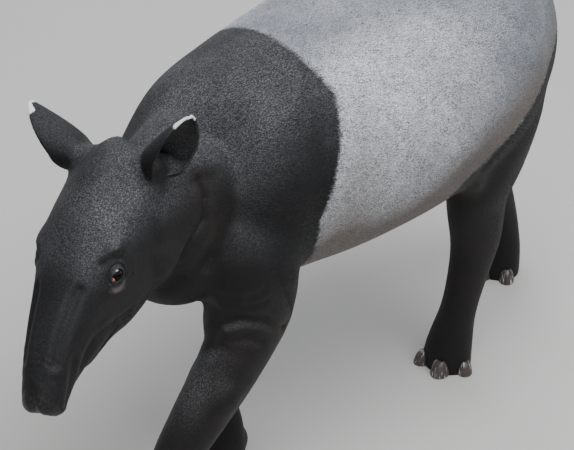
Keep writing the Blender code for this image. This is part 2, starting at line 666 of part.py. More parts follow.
def seeds():
    """A point inside every part of the flesh."""
    head = head_matrix()
    return {
        "head": head @ Vector((-0.05, 0, 0)),
        "proboscis": head @ Vector((0.22, 0, -0.055)),
        "lower_jaw": head @ Vector((0.10, 0, -0.117)),
        "neck": Vector((0.20, 0.035, 0.80)),
        "forequarters": Vector((0.0, 0, 0.75)),
        "saddle": Vector((-0.40, 0, 0.77)),
        "foreleg_left": Vector((0.20, 0.12, 0.335)),
        "foreleg_right": Vector((-0.095, -0.10, 0.34)),
        "forefoot_left": Vector((0.29, 0.10, 0.15)),
        "forefoot_right": Vector((-0.065, -0.09, 0.15)),
        "hindleg_left": Vector((-0.665, 0.12, 0.50)),
        "hindleg_right": Vector((-0.77, -0.115, 0.50)),
        "hindfoot_left": Vector((-0.65, 0.07, 0.16)),
        "hindfoot_right": Vector((-1.018, -0.115, 0.16)),
    }


def main():
    clear_scene()
    body = fuse("body", flesh_pieces())
    boolean(body, "DIFFERENCE", [half_space("ground")])

    flesh = swollen(body, 1.6 * GAP)
    made = {}
    boolean(body, "UNION", [lid_mound(side) for side in (1, -1)])
    for name, side in (("ear_left", 1), ("ear_right", -1)):
        made[name] = ear(name, side)
        boolean(made[name], "DIFFERENCE", [new_object("flesh_copy", flesh.data.copy())])
        keep_largest(made[name])
    made["tail"] = loft("tail", TAIL, sides=14, per=3)
    boolean(made["tail"], "DIFFERENCE", [flesh])
    keep_largest(made["tail"])

    carve = [nostril(1), nostril(-1)]
    for name, side in (("eye_left", 1), ("eye_right", -1)):
        made[name] = eyeball(name, side)
        carve += [swollen(made[name], 1.5 * GAP), lid_cutter(name + "_lids", side)]
    for nail in hooves():
        made[nail.name] = nail
        carve.append(swollen(nail, 1.5 * GAP))
    boolean(body, "DIFFERENCE", carve)
    boolean(body, "DIFFERENCE", cuts())
    made.update(part_pieces(body, seeds()))

    paint = {
        "black_coat": material("black_coat", (0.018, 0.017, 0.017), 0.6),
        "pale_coat": material("pale_coat", (0.52, 0.51, 0.49), 0.7),
        "hoof_horn": material("hoof_horn", (0.10, 0.08, 0.065), 0.45),
        "eye_gloss": material("eye_gloss", (0.012, 0.008, 0.006), 0.08),
    }
    corners = [thing.matrix_world @ Vector(c) for thing in made.values() for c in thing.bound_box]
    low = [min(c[i] for c in corners) for i in range(3)]
    high = [max(c[i] for c in corners) for i in range(3)]
    shift = Vector((-(low[0] + high[0]) / 2, -(low[1] + high[1]) / 2, -low[2]))
    for name, thing in made.items():
        thing.name = name
        thing.data.name = name
        thing.data.transform(Matrix.Translation(shift))
        if name.startswith("hoof"):
            slot = "hoof_horn"
        elif name.startswith("eye"):
            slot = "eye_gloss"
        else:
            slot = "pale_coat" if name == "saddle" else "black_coat"
        thing.data.materials.clear()
        thing.data.materials.append(paint[slot])


main()
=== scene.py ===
import json
import math

import bmesh
import bpy
import numpy as np
from mathutils import Euler, Matrix, Vector

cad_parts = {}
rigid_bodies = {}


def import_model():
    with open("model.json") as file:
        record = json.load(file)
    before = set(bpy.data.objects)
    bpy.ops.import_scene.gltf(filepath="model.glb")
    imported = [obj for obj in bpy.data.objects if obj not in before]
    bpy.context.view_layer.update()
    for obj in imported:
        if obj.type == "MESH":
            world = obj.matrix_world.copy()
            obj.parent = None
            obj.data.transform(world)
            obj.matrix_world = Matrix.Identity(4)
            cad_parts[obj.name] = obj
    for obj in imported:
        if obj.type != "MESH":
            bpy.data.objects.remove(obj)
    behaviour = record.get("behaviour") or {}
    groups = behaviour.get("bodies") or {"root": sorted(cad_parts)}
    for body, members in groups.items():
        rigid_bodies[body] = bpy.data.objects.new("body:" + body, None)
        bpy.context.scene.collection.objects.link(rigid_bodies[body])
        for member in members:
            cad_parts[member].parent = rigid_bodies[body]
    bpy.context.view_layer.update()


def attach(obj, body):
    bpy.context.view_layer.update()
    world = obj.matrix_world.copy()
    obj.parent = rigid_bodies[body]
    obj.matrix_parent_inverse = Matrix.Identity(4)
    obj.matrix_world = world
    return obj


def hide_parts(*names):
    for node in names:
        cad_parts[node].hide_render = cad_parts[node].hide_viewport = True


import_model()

# A Malayan tapir, dressed over its solids. Places are given in the animal's own frame: +X the way it walks,
# +Y its left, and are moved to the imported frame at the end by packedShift.

packedShift = Vector((0.20812, 0.00017, 0.0))

# small tools


def addObject(name, data):
    thing = bpy.data.objects.new(name, data)
    bpy.context.scene.collection.objects.link(thing)
    return thing


def smoothFaces(thing, test=lambda face: True):
    thing.data.polygons.foreach_set("use_smooth", [test(face) for face in thing.data.polygons])


def meshFrom(name, bm):
    mesh = bpy.data.meshes.new(name)
    bm.to_mesh(mesh)
    bm.free()
    return mesh


def applyModifiers(thing):
    bpy.context.view_layer.update()
    graph = bpy.context.evaluated_depsgraph_get()
    mesh = bpy.data.meshes.new_from_object(thing.evaluated_get(graph))
    old = thing.data
    thing.modifiers.clear()
    thing.data = mesh
    mesh.name = thing.name
    bpy.data.meshes.remove(old)


def splineRows(stations, per):
    rows = [[float(v) for v in s] for s in stations]
    before = [2 * a - b for a, b in zip(rows[0], rows[1])]
    after = [2 * a - b for a, b in zip(rows[-1], rows[-2])]
    rows = [before] + rows + [after]
    out = []
    for i in range(1, len(rows) - 2):
        p0, p1, p2, p3 = rows[i - 1:i + 3]
        for k in range(per):
            t = k / per
            out.append([0.5 * (2 * b + (c - a) * t + (2 * a - 5 * b + 4 * c - d) * t * t
                               + (3 * b - a - 3 * c + d) * t ** 3)
                        for a, b, c, d in zip(p0, p1, p2, p3)])
    out.append(rows[-2])
    return out


def degrees(turn):
    # a turn given in degrees about X, Y and Z
    return Euler([math.radians(a) for a in turn])


def loftMesh(name, stations, sides=32, per=5, up=Vector((0, 0, 1))):
    # oval sections: x, y, z, half width, height above, height below, squareness
    rows = splineRows([tuple(s) + (1.0,) * (7 - len(s)) for s in stations], per)
    centres = [Vector(r[:3]) for r in rows]
    bm = bmesh.new()
    rings = []
    for i, row in enumerate(rows):
        ahead = (centres[min(i + 1, len(rows) - 1)] - centres[max(i - 1, 0)]).normalized()
        left = up.cross(ahead).normalized()
        above = ahead.cross(left)
        wide, high, low, square = (max(v, 0.002) for v in row[3:7])
        ring = []
        for k in range(sides):
            a = 2 * math.pi * k / sides
            c, s = math.cos(a), math.sin(a)
            across = math.copysign(abs(c) ** square, c) * wide
            rise = math.copysign(abs(s) ** square, s) * (high if s > 0 else low)
            ring.append(bm.verts.new(centres[i] + left * across + above * rise))
        rings.append(ring)
    for a, b in zip(rings, rings[1:]):
        for k in range(sides):
            bm.faces.new((a[k], a[(k + 1) % sides], b[(k + 1) % sides], b[k]))
    for ring, centre in ((rings[0], centres[0]), (rings[-1], centres[-1])):
        hub = bm.verts.new(centre)
        for k in range(sides):
            bm.faces.new((ring[k], ring[(k + 1) % sides], hub))
    bmesh.ops.recalc_face_normals(bm, faces=bm.faces)
    return meshFrom(name, bm)


def roundMass(name, at, radii, turn=(0, 0, 0)):
    bm = bmesh.new()
    bmesh.ops.create_uvsphere(bm, u_segments=24, v_segments=16, radius=1)
    place = Matrix.LocRotScale(Vector(at), degrees(turn), Vector(radii))
    bmesh.ops.transform(bm, matrix=place, verts=bm.verts)
    return meshFrom(name, bm)


def smoothStep(low, high, values):
    t = np.clip((values - low) / (high - low), 0, 1)
    return t * t * (3 - 2 * t)


def readPoints(mesh):
    flat = np.empty(len(mesh.vertices) * 3, np.float32)
    mesh.vertices.foreach_get("co", flat)
    return flat.reshape(-1, 3).astype(np.float64)


def readNormals(mesh):
    flat = np.empty(len(mesh.vertices) * 3, np.float32)
    mesh.vertex_normals.foreach_get("vector", flat)
    return flat.reshape(-1, 3).astype(np.float64)


def writePoints(mesh, points):
    mesh.vertices.foreach_set("co", points.astype(np.float32).ravel())
    mesh.update()


def writeField(mesh, name, values):
    # a value or a vector for every point, kept as an attribute of the mesh
    kind, part = ("FLOAT_VECTOR", "vector") if values.ndim == 2 else ("FLOAT", "value")
    layer = mesh.attributes.new(name, kind, "POINT")
    layer.data.foreach_set(part, values.astype(np.float32).ravel())


def lineDistance(points, line):
    # distance of every point to a bent line
    best = np.full(len(points), np.inf)
    line = [np.array(p, float) for p in line]
    for a, b in zip(line, line[1:]):
        way = b - a
        t = np.clip(((points - a) @ way) / (way @ way), 0, 1)
        best = np.minimum(best, np.linalg.norm(points - (a + t[:, None] * way), axis=1))
    return best


def bell(values, width):
    return np.exp(-(values / width) ** 2)


def blend(rows, other, share):
    # moves each row toward the other by its own share
    return rows * (1 - share)[:, None] + other * share[:, None]


# shader tools


def newMaterial(name):
    material = bpy.data.materials.new(name)
    material.use_nodes = True
    return material, material.node_tree, material.node_tree.nodes["Principled BSDF"]


def addNode(tree, kind, **settings):
    node = tree.nodes.new(kind)
    for key, value in settings.items():
        setattr(node, key, value)
    return node


def feed(tree, socket, value):
    # a socket is linked, anything else is set
    if isinstance(value, bpy.types.NodeSocket):
        tree.links.new(value, socket)
    elif isinstance(value, (tuple, list)) and len(value) == 3 and socket.type == "RGBA":
        socket.default_value = (*value, 1)
    else:
        socket.default_value = value


def mixColour(tree, factor, a, b):
    node = addNode(tree, "ShaderNodeMix", data_type="RGBA")
    for place, value in zip((0, 6, 7), (factor, a, b)):
        feed(tree, node.inputs[place], value)
    return node.outputs[2]


def mixValue(tree, factor, a, b):
    node = addNode(tree, "ShaderNodeMix", data_type="FLOAT")
    for place, value in zip((0, 2, 3), (factor, a, b)):
        feed(tree, node.inputs[place], value)
    return node.outputs[0]


def calc(tree, operation, *values):
    node = addNode(tree, "ShaderNodeMath", operation=operation)
    for socket, value in zip(node.inputs, values):
        feed(tree, socket, value)
    return node.outputs[0]


def times(tree, a, b):
    return calc(tree, "MULTIPLY", a, b)


def swing(tree, value, amount):
    # a value about a half, made to swing about nought
    return times(tree, calc(tree, "SUBTRACT", value, 0.5), amount)


def plus(tree, first, *others):
    for other in others:
        first = calc(tree, "ADD", first, other)
    return first


def remap(tree, value, low, high, toLow=0.0, toHigh=1.0, soft=True):
    node = addNode(tree, "ShaderNodeMapRange", interpolation_type="SMOOTHSTEP" if soft else "LINEAR")
    for socket, number in zip(node.inputs, (value, low, high, toLow, toHigh)):
        feed(tree, socket, number)
    return node.outputs[0]


def noiseNode(tree, vector, scale, detail=3.0, roughness=0.5):
    node = addNode(tree, "ShaderNodeTexNoise")
    feed(tree, node.inputs["Vector"], vector)
    node.inputs["Scale"].default_value = scale
    node.inputs["Detail"].default_value = detail
    node.inputs["Roughness"].default_value = roughness
    return node.outputs[0]


def stretch(tree, vector, scale):
    node = addNode(tree, "ShaderNodeMapping")
    feed(tree, node.inputs["Vector"], vector)
    node.inputs["Scale"].default_value = scale
    return node.outputs[0]


def hairNoise(tree, vector, scale, detail=3.0, roughness=0.7):
    # noise drawn out along one axis
    return noiseNode(tree, stretch(tree, vector, scale), 1.0, detail, roughness)


def field(tree, name):
    return addNode(tree, "ShaderNodeAttribute", attribute_name=name, attribute_type="GEOMETRY").outputs["Fac"]


def objectPlace(tree):
    return addNode(tree, "ShaderNodeTexCoord").outputs["Object"]


def setInputs(shader, **values):
    for name, value in values.items():
        shader.inputs[name.replace("_", " ")].default_value = value


def addBump(tree, shader, height, strength, distance):
    bump = addNode(tree, "ShaderNodeBump")
    setInputs(bump, Strength=strength, Distance=distance)
    tree.links.new(height, bump.inputs["Height"])
    tree.links.new(bump.outputs["Normal"], shader.inputs["Normal"])


# the photograph's viewing angle: degrees and metres, with the focal length and the picture's centre in pixels
view = {"azimuth": 43, "elevation": 31, "away": 5.0, "target": (-0.2, 0, 0.6), "focal": 2500,
        "centre": (295.45, 198.88), "picture": (574, 450)}


def placeCamera():
    az, el = math.radians(view["azimuth"]), math.radians(view["elevation"])
    back = Vector((math.cos(el) * math.cos(az), math.cos(el) * math.sin(az), math.sin(el)))
    camera = addObject("camera", bpy.data.cameras.new("camera"))
    camera.location = Vector(view["target"]) + packedShift + back * view["away"]
    camera.rotation_euler = (-back).to_track_quat("-Z", "Y").to_euler()
    wide, high = view["picture"]
    lens = camera.data
    lens.sensor_fit = "HORIZONTAL"
    lens.sensor_width = 36
    lens.lens = view["focal"] * lens.sensor_width / wide
    lens.shift_x = (wide / 2 - view["centre"][0]) / wide
    lens.shift_y = (view["centre"][1] - high / 2) / wide
    lens.clip_end = 60
    bpy.context.scene.camera = camera


studio = {
    "floorSize": 90.0,
    "floorColour": (0.62, 0.61, 0.59),
    "worldColour": (0.78, 0.83, 0.90),
    "worldStrength": 0.17,
    # name: place, aim, size, watts, colour
    "lamps": {
        "overhead": ((0.1, 1.3, 3.4), (-0.1, 0, 0.6), 2.6, 105, (0.96, 0.98, 1.0)),
        "front": ((3.4, 1.6, 2.4), (0.2, 0, 0.6), 2.0, 18, (1.0, 0.98, 0.96)),
        "rear": ((-2.2, -2.2, 2.9), (-0.1, 0, 0.7), 3.0, 45, (0.92, 0.96, 1.0)),
    },
    # a wide soft sky light from above keeps the floor even: turn, strength, spread in degrees
    "skyLight": ((-12, 8, 0), 1.5, 75),
}


def buildStudio():
    bm = bmesh.new()
    bmesh.ops.create_grid(bm, x_segments=24, y_segments=24, size=studio["floorSize"] / 2)
    floor = addObject("floor", meshFrom("floor", bm))
    material, tree, shader = newMaterial("floor_pale")
    setInputs(shader, Roughness=0.85)
    tones = [tuple(c * k for c in studio["floorColour"]) for k in (0.97, 1.03)]
    tree.links.new(mixColour(tree, noiseNode(tree, objectPlace(tree), 3.0, 6.0), *tones),
                   shader.inputs["Base Color"])
    floor.data.materials.append(material)
    world = bpy.data.worlds.new("studio")
    bpy.context.scene.world = world
    world.use_nodes = True
    setInputs(world.node_tree.nodes["Background"], Color=(*studio["worldColour"], 1),
              Strength=studio["worldStrength"])
    for name, (at, aim, size, watts, colour) in studio["lamps"].items():
        lamp = bpy.data.lights.new(name, "AREA")
        lamp.shape = "DISK"
        lamp.size, lamp.energy, lamp.color = size, watts, colour
        thing = addObject(name, lamp)
        thing.location = at
        thing.rotation_euler = (Vector(aim) - Vector(at)).to_track_quat("-Z", "Y").to_euler()
    turn, strength, spread = studio["skyLight"]
    lamp = bpy.data.lights.new("skyLight", "SUN")
    lamp.energy, lamp.angle = strength, math.radians(spread)
    addObject("skyLight", lamp).rotation_euler = degrees(turn)


placeCamera()
buildStudio()
print("camera, lights and floor ready")

# The flesh: the same masses as the solids, fused without their cuts.

# sections: x, y, z, half width, height above, height below, squareness
trunkSections = [
    (-0.925, 0, 0.775, 0.04, 0.05, 0.06),
    (-0.895, 0, 0.775, 0.098, 0.115, 0.115),
    (-0.84, 0, 0.775, 0.155, 0.175, 0.175),
    (-0.75, 0, 0.772, 0.208, 0.228, 0.22),
    (-0.64, 0, 0.77, 0.255, 0.262, 0.262),
    (-0.46, 0, 0.762, 0.266, 0.27, 0.282),
    (-0.26, 0, 0.755, 0.25, 0.265, 0.275),
    (-0.09, 0, 0.755, 0.222, 0.25, 0.255),
    (0.04, 0, 0.755, 0.192, 0.228, 0.25),
    (0.13, 0.0, 0.74, 0.152, 0.165, 0.225),
    (0.20, 0.015, 0.72, 0.12, 0.12, 0.17),
    (0.24, 0.025, 0.71, 0.06, 0.06, 0.09),
]
neckSections = [
    (-0.08, 0, 0.80, 0.15, 0.185, 0.16),
    (0.04, 0.01, 0.80, 0.135, 0.155, 0.18),
    (0.15, 0.03, 0.80, 0.116, 0.122, 0.20),
    (0.25, 0.05, 0.81, 0.104, 0.108, 0.18),
    (0.35, 0.075, 0.82, 0.095, 0.095, 0.14),
]
headPlace = {"at": Vector((0.455, 0.092, 0.79)), "turn": (10.5, 27, 20)}  # roll, nose down, turned left
# the head's own frame: +X along the skull to the snout from between the eyes
headSections = [
    (-0.235, 0, 0.0, 0.080, 0.065, 0.085),
    (-0.19, 0, -0.005, 0.098, 0.085, 0.12),
    (-0.12, 0, -0.01, 0.102, 0.092, 0.16),
    (-0.05, 0, -0.01, 0.098, 0.088, 0.172, 0.9),
    (0.02, 0, -0.015, 0.086, 0.076, 0.155, 0.9),
    (0.08, 0, -0.02, 0.069, 0.064, 0.125, 0.9),
    (0.14, 0, -0.03, 0.056, 0.056, 0.095, 0.9),
    (0.19, 0, -0.045, 0.048, 0.05, 0.065, 0.95),
    (0.235, 0, -0.065, 0.042, 0.044, 0.046),
    (0.252, 0, -0.076, 0.038, 0.038, 0.040),
    (0.264, 0, -0.084, 0.026, 0.026, 0.029),
]
legSections = {
    "foreleg_left": [
        (-0.01, 0.11, 0.80, 0.07, 0.10, 0.12),
        (0.06, 0.135, 0.66, 0.082, 0.105, 0.125),
        (0.060, 0.138, 0.54, 0.074, 0.082, 0.098),
        (0.125, 0.132, 0.43, 0.062, 0.070, 0.074),
        (0.20, 0.12, 0.335, 0.054, 0.058, 0.066),
        (0.258, 0.105, 0.25, 0.047, 0.047, 0.047),
        (0.29, 0.10, 0.15, 0.042, 0.038, 0.042),
        (0.305, 0.095, 0.08, 0.048, 0.045, 0.048),
        (0.32, 0.095, 0.03, 0.054, 0.052, 0.052),
        (0.325, 0.095, -0.012, 0.054, 0.052, 0.052),
    ],
    "foreleg_right": [
        (-0.05, -0.10, 0.80, 0.07, 0.09, 0.11),
        (-0.04, -0.115, 0.66, 0.075, 0.09, 0.105),
        (-0.104, -0.108, 0.54, 0.064, 0.070, 0.080),
        (-0.116, -0.104, 0.44, 0.054, 0.054, 0.062),
        (-0.104, -0.100, 0.34, 0.047, 0.046, 0.050),
        (-0.085, -0.095, 0.25, 0.045, 0.043, 0.043),
        (-0.065, -0.09, 0.15, 0.041, 0.037, 0.040),
        (-0.065, -0.085, 0.08, 0.048, 0.045, 0.048),
        (-0.06, -0.085, 0.03, 0.054, 0.052, 0.052),
        (-0.055, -0.085, -0.012, 0.054, 0.052, 0.052),
    ],
    "hindleg_left": [
        (-0.66, 0.12, 0.82, 0.10, 0.14, 0.11),
        (-0.65, 0.125, 0.68, 0.10, 0.145, 0.10),
        (-0.645, 0.117, 0.55, 0.083, 0.118, 0.074),
        (-0.655, 0.10, 0.44, 0.060, 0.084, 0.074),
        (-0.672, 0.09, 0.335, 0.052, 0.066, 0.064),
        (-0.665, 0.08, 0.25, 0.044, 0.052, 0.052),
        (-0.65, 0.07, 0.16, 0.042, 0.042, 0.042),
        (-0.648, 0.055, 0.085, 0.050, 0.045, 0.046),
        (-0.645, 0.047, 0.03, 0.056, 0.050, 0.050),
        (-0.643, 0.047, -0.012, 0.056, 0.050, 0.050),
    ],
    "hindleg_right": [
        (-0.66, -0.12, 0.82, 0.10, 0.15, 0.13),
        (-0.67, -0.125, 0.68, 0.10, 0.15, 0.125),
        (-0.715, -0.12, 0.55, 0.085, 0.12, 0.10),
        (-0.830, -0.115, 0.44, 0.060, 0.084, 0.066),
        (-0.928, -0.113, 0.345, 0.050, 0.062, 0.054),
        (-0.982, -0.113, 0.25, 0.044, 0.048, 0.046),
        (-1.018, -0.115, 0.16, 0.042, 0.042, 0.042),
        (-1.026, -0.116, 0.085, 0.050, 0.046, 0.046),
        (-1.020, -0.116, 0.03, 0.056, 0.050, 0.050),
        (-1.017, -0.116, -0.012, 0.056, 0.050, 0.050),
    ],
}
tailSections = [
    (-0.84, 0, 0.835, 0.036, 0.034, 0.036),
    (-0.895, 0, 0.83, 0.034, 0.032, 0.034),
    (-0.930, 0, 0.80, 0.028, 0.025, 0.028),
    (-0.948, 0, 0.755, 0.021, 0.017, 0.020),
    (-0.954, 0, 0.712, 0.010, 0.009, 0.010),
]
# rounded masses: centre, radii, turn about X, Y and Z
bodyMasses = {
    "shoulder_left": ((-0.01, 0.13, 0.76), (0.15, 0.085, 0.20), (0, -18, 0)),
    "shoulder_right": ((-0.05, -0.125, 0.74), (0.14, 0.08, 0.18), (0, -8, 0)),
    "haunch_left": ((-0.645, 0.138, 0.78), (0.14, 0.096, 0.18), (0, 10, 0)),
    "haunch_right": ((-0.65, -0.14, 0.77), (0.15, 0.10, 0.19), (0, 22, 0)),
    "breast": ((0.17, 0.03, 0.665), (0.12, 0.12, 0.105), (0, 0, 0)),
    "arm_left": ((0.100, 0.132, 0.55), (0.074, 0.064, 0.110), (0, -20, 0)),
    "neck_left": ((0.22, 0.092, 0.795), (0.14, 0.066, 0.14), (0, -10, -10)),
    "neck_crest": ((0.17, 0.02, 0.86), (0.17, 0.075, 0.078), (0, 12, 8)),
    "hip_left": ((-0.60, 0.135, 0.925), (0.10, 0.065, 0.055), (0, 8, 20)),
    "hip_right": ((-0.62, -0.130, 0.92), (0.10, 0.060, 0.05), (0, 8, -20)),
    "stifle_left": ((-0.560, 0.135, 0.595), (0.062, 0.060, 0.090), (0, 12, 0)),
    "stifle_right": ((-0.625, -0.135, 0.60), (0.070, 0.062, 0.090), (0, 30, 0)),
    "hock_left": ((-0.700, 0.084, 0.278), (0.032, 0.026, 0.046), (0, 6, 0)),
    "hock_right": ((-0.998, -0.113, 0.292), (0.032, 0.026, 0.050), (0, 28, 0)),
    "knee_left": ((0.272, 0.104, 0.232), (0.046, 0.047, 0.044), (0, -10, 0)),
    "knee_right": ((-0.074, -0.094, 0.235), (0.044, 0.046, 0.044), (0, 0, 0)),
    "forearm_left": ((0.160, 0.130, 0.400), (0.058, 0.062, 0.100), (0, -38, 0)),
    "forearm_right": ((-0.108, -0.106, 0.405), (0.056, 0.056, 0.095), (0, 4, 0)),
    "elbow_point_right": ((-0.150, -0.112, 0.520), (0.045, 0.045, 0.050), (0, 20, 0)),
    "heel_fore_left": ((0.292, 0.092, 0.030), (0.034, 0.040, 0.036), (0, 0, 0)),
    "heel_fore_right": ((-0.090, -0.082, 0.030), (0.034, 0.040, 0.036), (0, 0, 0)),
    "heel_hind_left": ((-0.672, 0.038, 0.030), (0.034, 0.038, 0.036), (0, 0, 20)),
    "heel_hind_right": ((-1.046, -0.114, 0.030), (0.034, 0.038, 0.036), (0, 0, 0)),
    "seat_left": ((-0.825, 0.075, 0.775), (0.065, 0.07, 0.12), (0, 12, 0)),
    "seat_right": ((-0.825, -0.078, 0.77), (0.065, 0.07, 0.12), (0, 12, 0)),
}
# on the left of the head; those off the middle are mirrored to the right
faceMasses = {
    "brow": ((-0.018, 0.066, 0.030), (0.048, 0.026, 0.022), (10, 8, -8)),
    "orbit": ((-0.004, 0.064, 0.004), (0.046, 0.028, 0.038), (0, -12, -8)),
    "nose": ((0.247, 0.0215, -0.074), (0.022, 0.0195, 0.032), (0, 30, 0)),
    "cheek": ((-0.105, 0.062, -0.085), (0.075, 0.048, 0.075), (0, 0, 0)),
    "crown": ((-0.13, 0, 0.046), (0.12, 0.055, 0.044), (0, 5, 0)),
    "lip": ((0.10, 0.040, -0.060), (0.085, 0.024, 0.032), (0, 12, -14)),
    "chin": ((0.105, 0, -0.115), (0.050, 0.030, 0.024), (0, -12, 0)),
    "earRoot": ((-0.195, 0.068, 0.035), (0.036, 0.036, 0.040), (0, 0, 0)),
}
# toes: how far ahead and aside of the foot's centre, splay, scale
foreToes = [(0.040, 0.001, 2, 0.98), (0.019, 0.043, 34, 0.82), (0.017, -0.041, -34, 0.82),
            (-0.024, 0.056, 70, 0.52)]
hindToes = [(0.041, 0.0, 0, 1.04), (0.018, 0.044, 36, 0.88), (0.017, -0.047, -42, 0.88)]
feet = {
    "fore_left": (foreToes, (0.322, 0.095), 8, 1),
    "fore_right": (foreToes, (-0.057, -0.085), -6, -1),
    "hind_left": (hindToes, (-0.645, 0.047), 20, 1),
    "hind_right": (hindToes, (-1.019, -0.116), -4, -1),
}
# where black meets pale, seen from the side: x and z from the top
saddleFrontLeft = [(-0.10, 1.10), (-0.115, 0.98), (-0.13, 0.93), (-0.11, 0.865), (-0.078, 0.78),
                   (-0.045, 0.70), (-0.06, 0.62), (-0.085, 0.40)]
saddleFrontRight = [(-0.10, 1.10), (-0.115, 0.98), (-0.13, 0.93), (-0.13, 0.865), (-0.145, 0.78),
                    (-0.16, 0.70), (-0.165, 0.62), (-0.165, 0.40)]
saddleRear = [(-1.20, 0.80), (-0.90, 0.80), (-0.80, 0.795), (-0.675, 0.763), (-0.583, 0.70), (-0.51, 0.668),
               (-0.455, 0.63), (-0.435, 0.57), (-0.45, 0.35)]
mouthLine = [(0.168, -0.125), (0.13, -0.108), (0.09, -0.098), (0.055, -0.094), (0.030, -0.11)]
eye = {
    "at": (0.010, 0.0765, 0.004),
    "turn": (14, -14, -22),
    "radius": 0.0145,
    "opening": (0.0126, 0.0124),  # from its middle to the front and to below
    "rear": 0.80,  # the opening's reach to the rear and to above, as shares of those
    "above": 0.96,
    "lid": 0.0022,
    # out from the opening's edge, which is at 1: place, half width and height
    "rim": (1.16, 0.13, 0.0010),
    "upperCrease": (1.66, 0.16, 0.0016),
    "lowerCrease": (1.62, 0.17, 0.0017),
}
nostril = {"at": (0.264, 0.0175, -0.079), "radii": (0.020, 0.0064, 0.0115), "turn": (18, 35, 8),
           "way": (-0.55, 0.0, 0.35), "depth": 0.92}

flesh = {
    "grain": 0.0068,  # size of the fused faces
    "evenOut": 10,
    "soften": 30,
    "coatDepth": 0.0022,  # how far the skin lies inside the solids
}


def headMatrix():
    return Matrix.LocRotScale(headPlace["at"], degrees(headPlace["turn"]), None)


def eyePlace(side):
    x, y, z = eye["at"]
    roll, pitch, yaw = eye["turn"]
    return Matrix.LocRotScale(Vector((x, y * side, z)), degrees((roll * side, pitch, yaw * side)), None)


def turned(x, y, heading):
    return Matrix.Translation((x, y, 0)) @ Matrix.Rotation(math.radians(heading), 4, "Z")


def eachToe():
    # foot, number, place and scale of every toe
    for foot, (toes, centre, heading, side) in feet.items():
        for i, (ahead, aside, splay, scale) in enumerate(toes):
            yield foot, i + 1, turned(*centre, heading) @ turned(ahead, aside * side, splay * side), scale


def into(place, points):
    # points in the frame of a place
    back = np.array(place.inverted())
    return points @ back[:3, :3].T + back[:3, 3]


def outOf(place, points):
    way = np.array(place)
    return points @ way[:3, :3].T + way[:3, 3]


def headLocal(points):
    return into(headMatrix(), points)


def foldHead(local):
    # both sides of the head laid on its left
    return np.column_stack((local[:, 0], np.abs(local[:, 1]), local[:, 2]))


def evenOut(skin, rounds, group=""):
    even = skin.modifiers.new("even", "SMOOTH")
    even.factor = 0.5
    even.iterations = rounds
    even.vertex_group = group


def fuseFlesh():
    masses = [loftMesh("trunk", trunkSections), loftMesh("neck", neckSections),
              loftMesh("tail", tailSections)]
    head = [loftMesh("head", headSections)]
    for name, ((x, y, z), radii, (roll, pitch, yaw)) in faceMasses.items():
        for side in (1, -1) if y else (1,):
            head.append(roundMass(name, (x, y * side, z), radii, (roll * side, pitch, yaw * side)))
    for mesh in head:
        mesh.transform(headMatrix())
    masses += head
    masses += [loftMesh(name, rows, up=Vector((-1, 0, 0))) for name, rows in legSections.items()]
    masses += [roundMass(name, *mass) for name, mass in bodyMasses.items()]
    for _, _, place, scale in eachToe():
        toe = roundMass("toe", (-0.018, 0, 0.021 * scale), [r * scale for r in (0.031, 0.0195, 0.027)],
                        (0, 14, 0))
        toe.transform(place)
        masses.append(toe)
    bm = bmesh.new()
    for mesh in masses:
        bm.from_mesh(mesh)
        bpy.data.meshes.remove(mesh)
    skin = addObject("skin", meshFrom("skin", bm))
    remesh = skin.modifiers.new("fuse", "REMESH")
    remesh.mode = "VOXEL"
    remesh.voxel_size = flesh["grain"]
    evenOut(skin, flesh["evenOut"])
    applyModifiers(skin)
    # the trunk and legs are evened out further, down to the feet and up to the head
    points = readPoints(skin.data)
    weight = np.clip((points[:, 2] - 0.30) / 0.15, 0, 1)
    weight = weight * np.clip((-0.12 - headLocal(points)[:, 0]) / 0.08, 0, 1)
    group = skin.vertex_groups.new(name="torso")
    for i in np.nonzero(weight)[0]:
        group.add([int(i)], float(weight[i]), "REPLACE")
    evenOut(skin, flesh["soften"], "torso")
    applyModifiers(skin)
    return skin


# ears: a cupped leaf each, joined to the flesh, in the head's own frame
ear = {
    "root": (-0.200, 0.062, 0.040),
    "axis": (-0.075, 0.112, 0.105),
    "facing": (0.45, 0.85, -0.20),
    "length": 0.147,
    "thickness": 0.0042,
    "lean": (0.018, -0.020),  # how far its middle line bends forward at the tip and back at the root
    "ripple": 0.0015,
    "rows": 4,
    "across": 28,
    # along the ear, half its width, half its curl, how far it spreads to the rear
    "profile": [(0.0, 0.030, 150, 0.004), (0.12, 0.040, 122, 0.009), (0.28, 0.049, 94, 0.010),
                (0.45, 0.053, 77, 0.008), (0.62, 0.048, 64, 0.004), (0.77, 0.037, 54, 0.001),
                (0.89, 0.023, 44, 0), (0.965, 0.012, 36, 0), (0.99, 0.005, 30, 0)],
}


def earFrame(side):
    flip = Matrix.Diagonal((1, side, 1))
    axis = (flip @ Vector(ear["axis"])).normalized()
    facing = flip @ Vector(ear["facing"])
    facing = (facing - axis * facing.dot(axis)).normalized()
    return flip @ Vector(ear["root"]), axis, facing, axis.cross(facing).normalized()


def earLean(t):
    tip, root = ear["lean"]
    return tip * t * t + root * (1 - t)


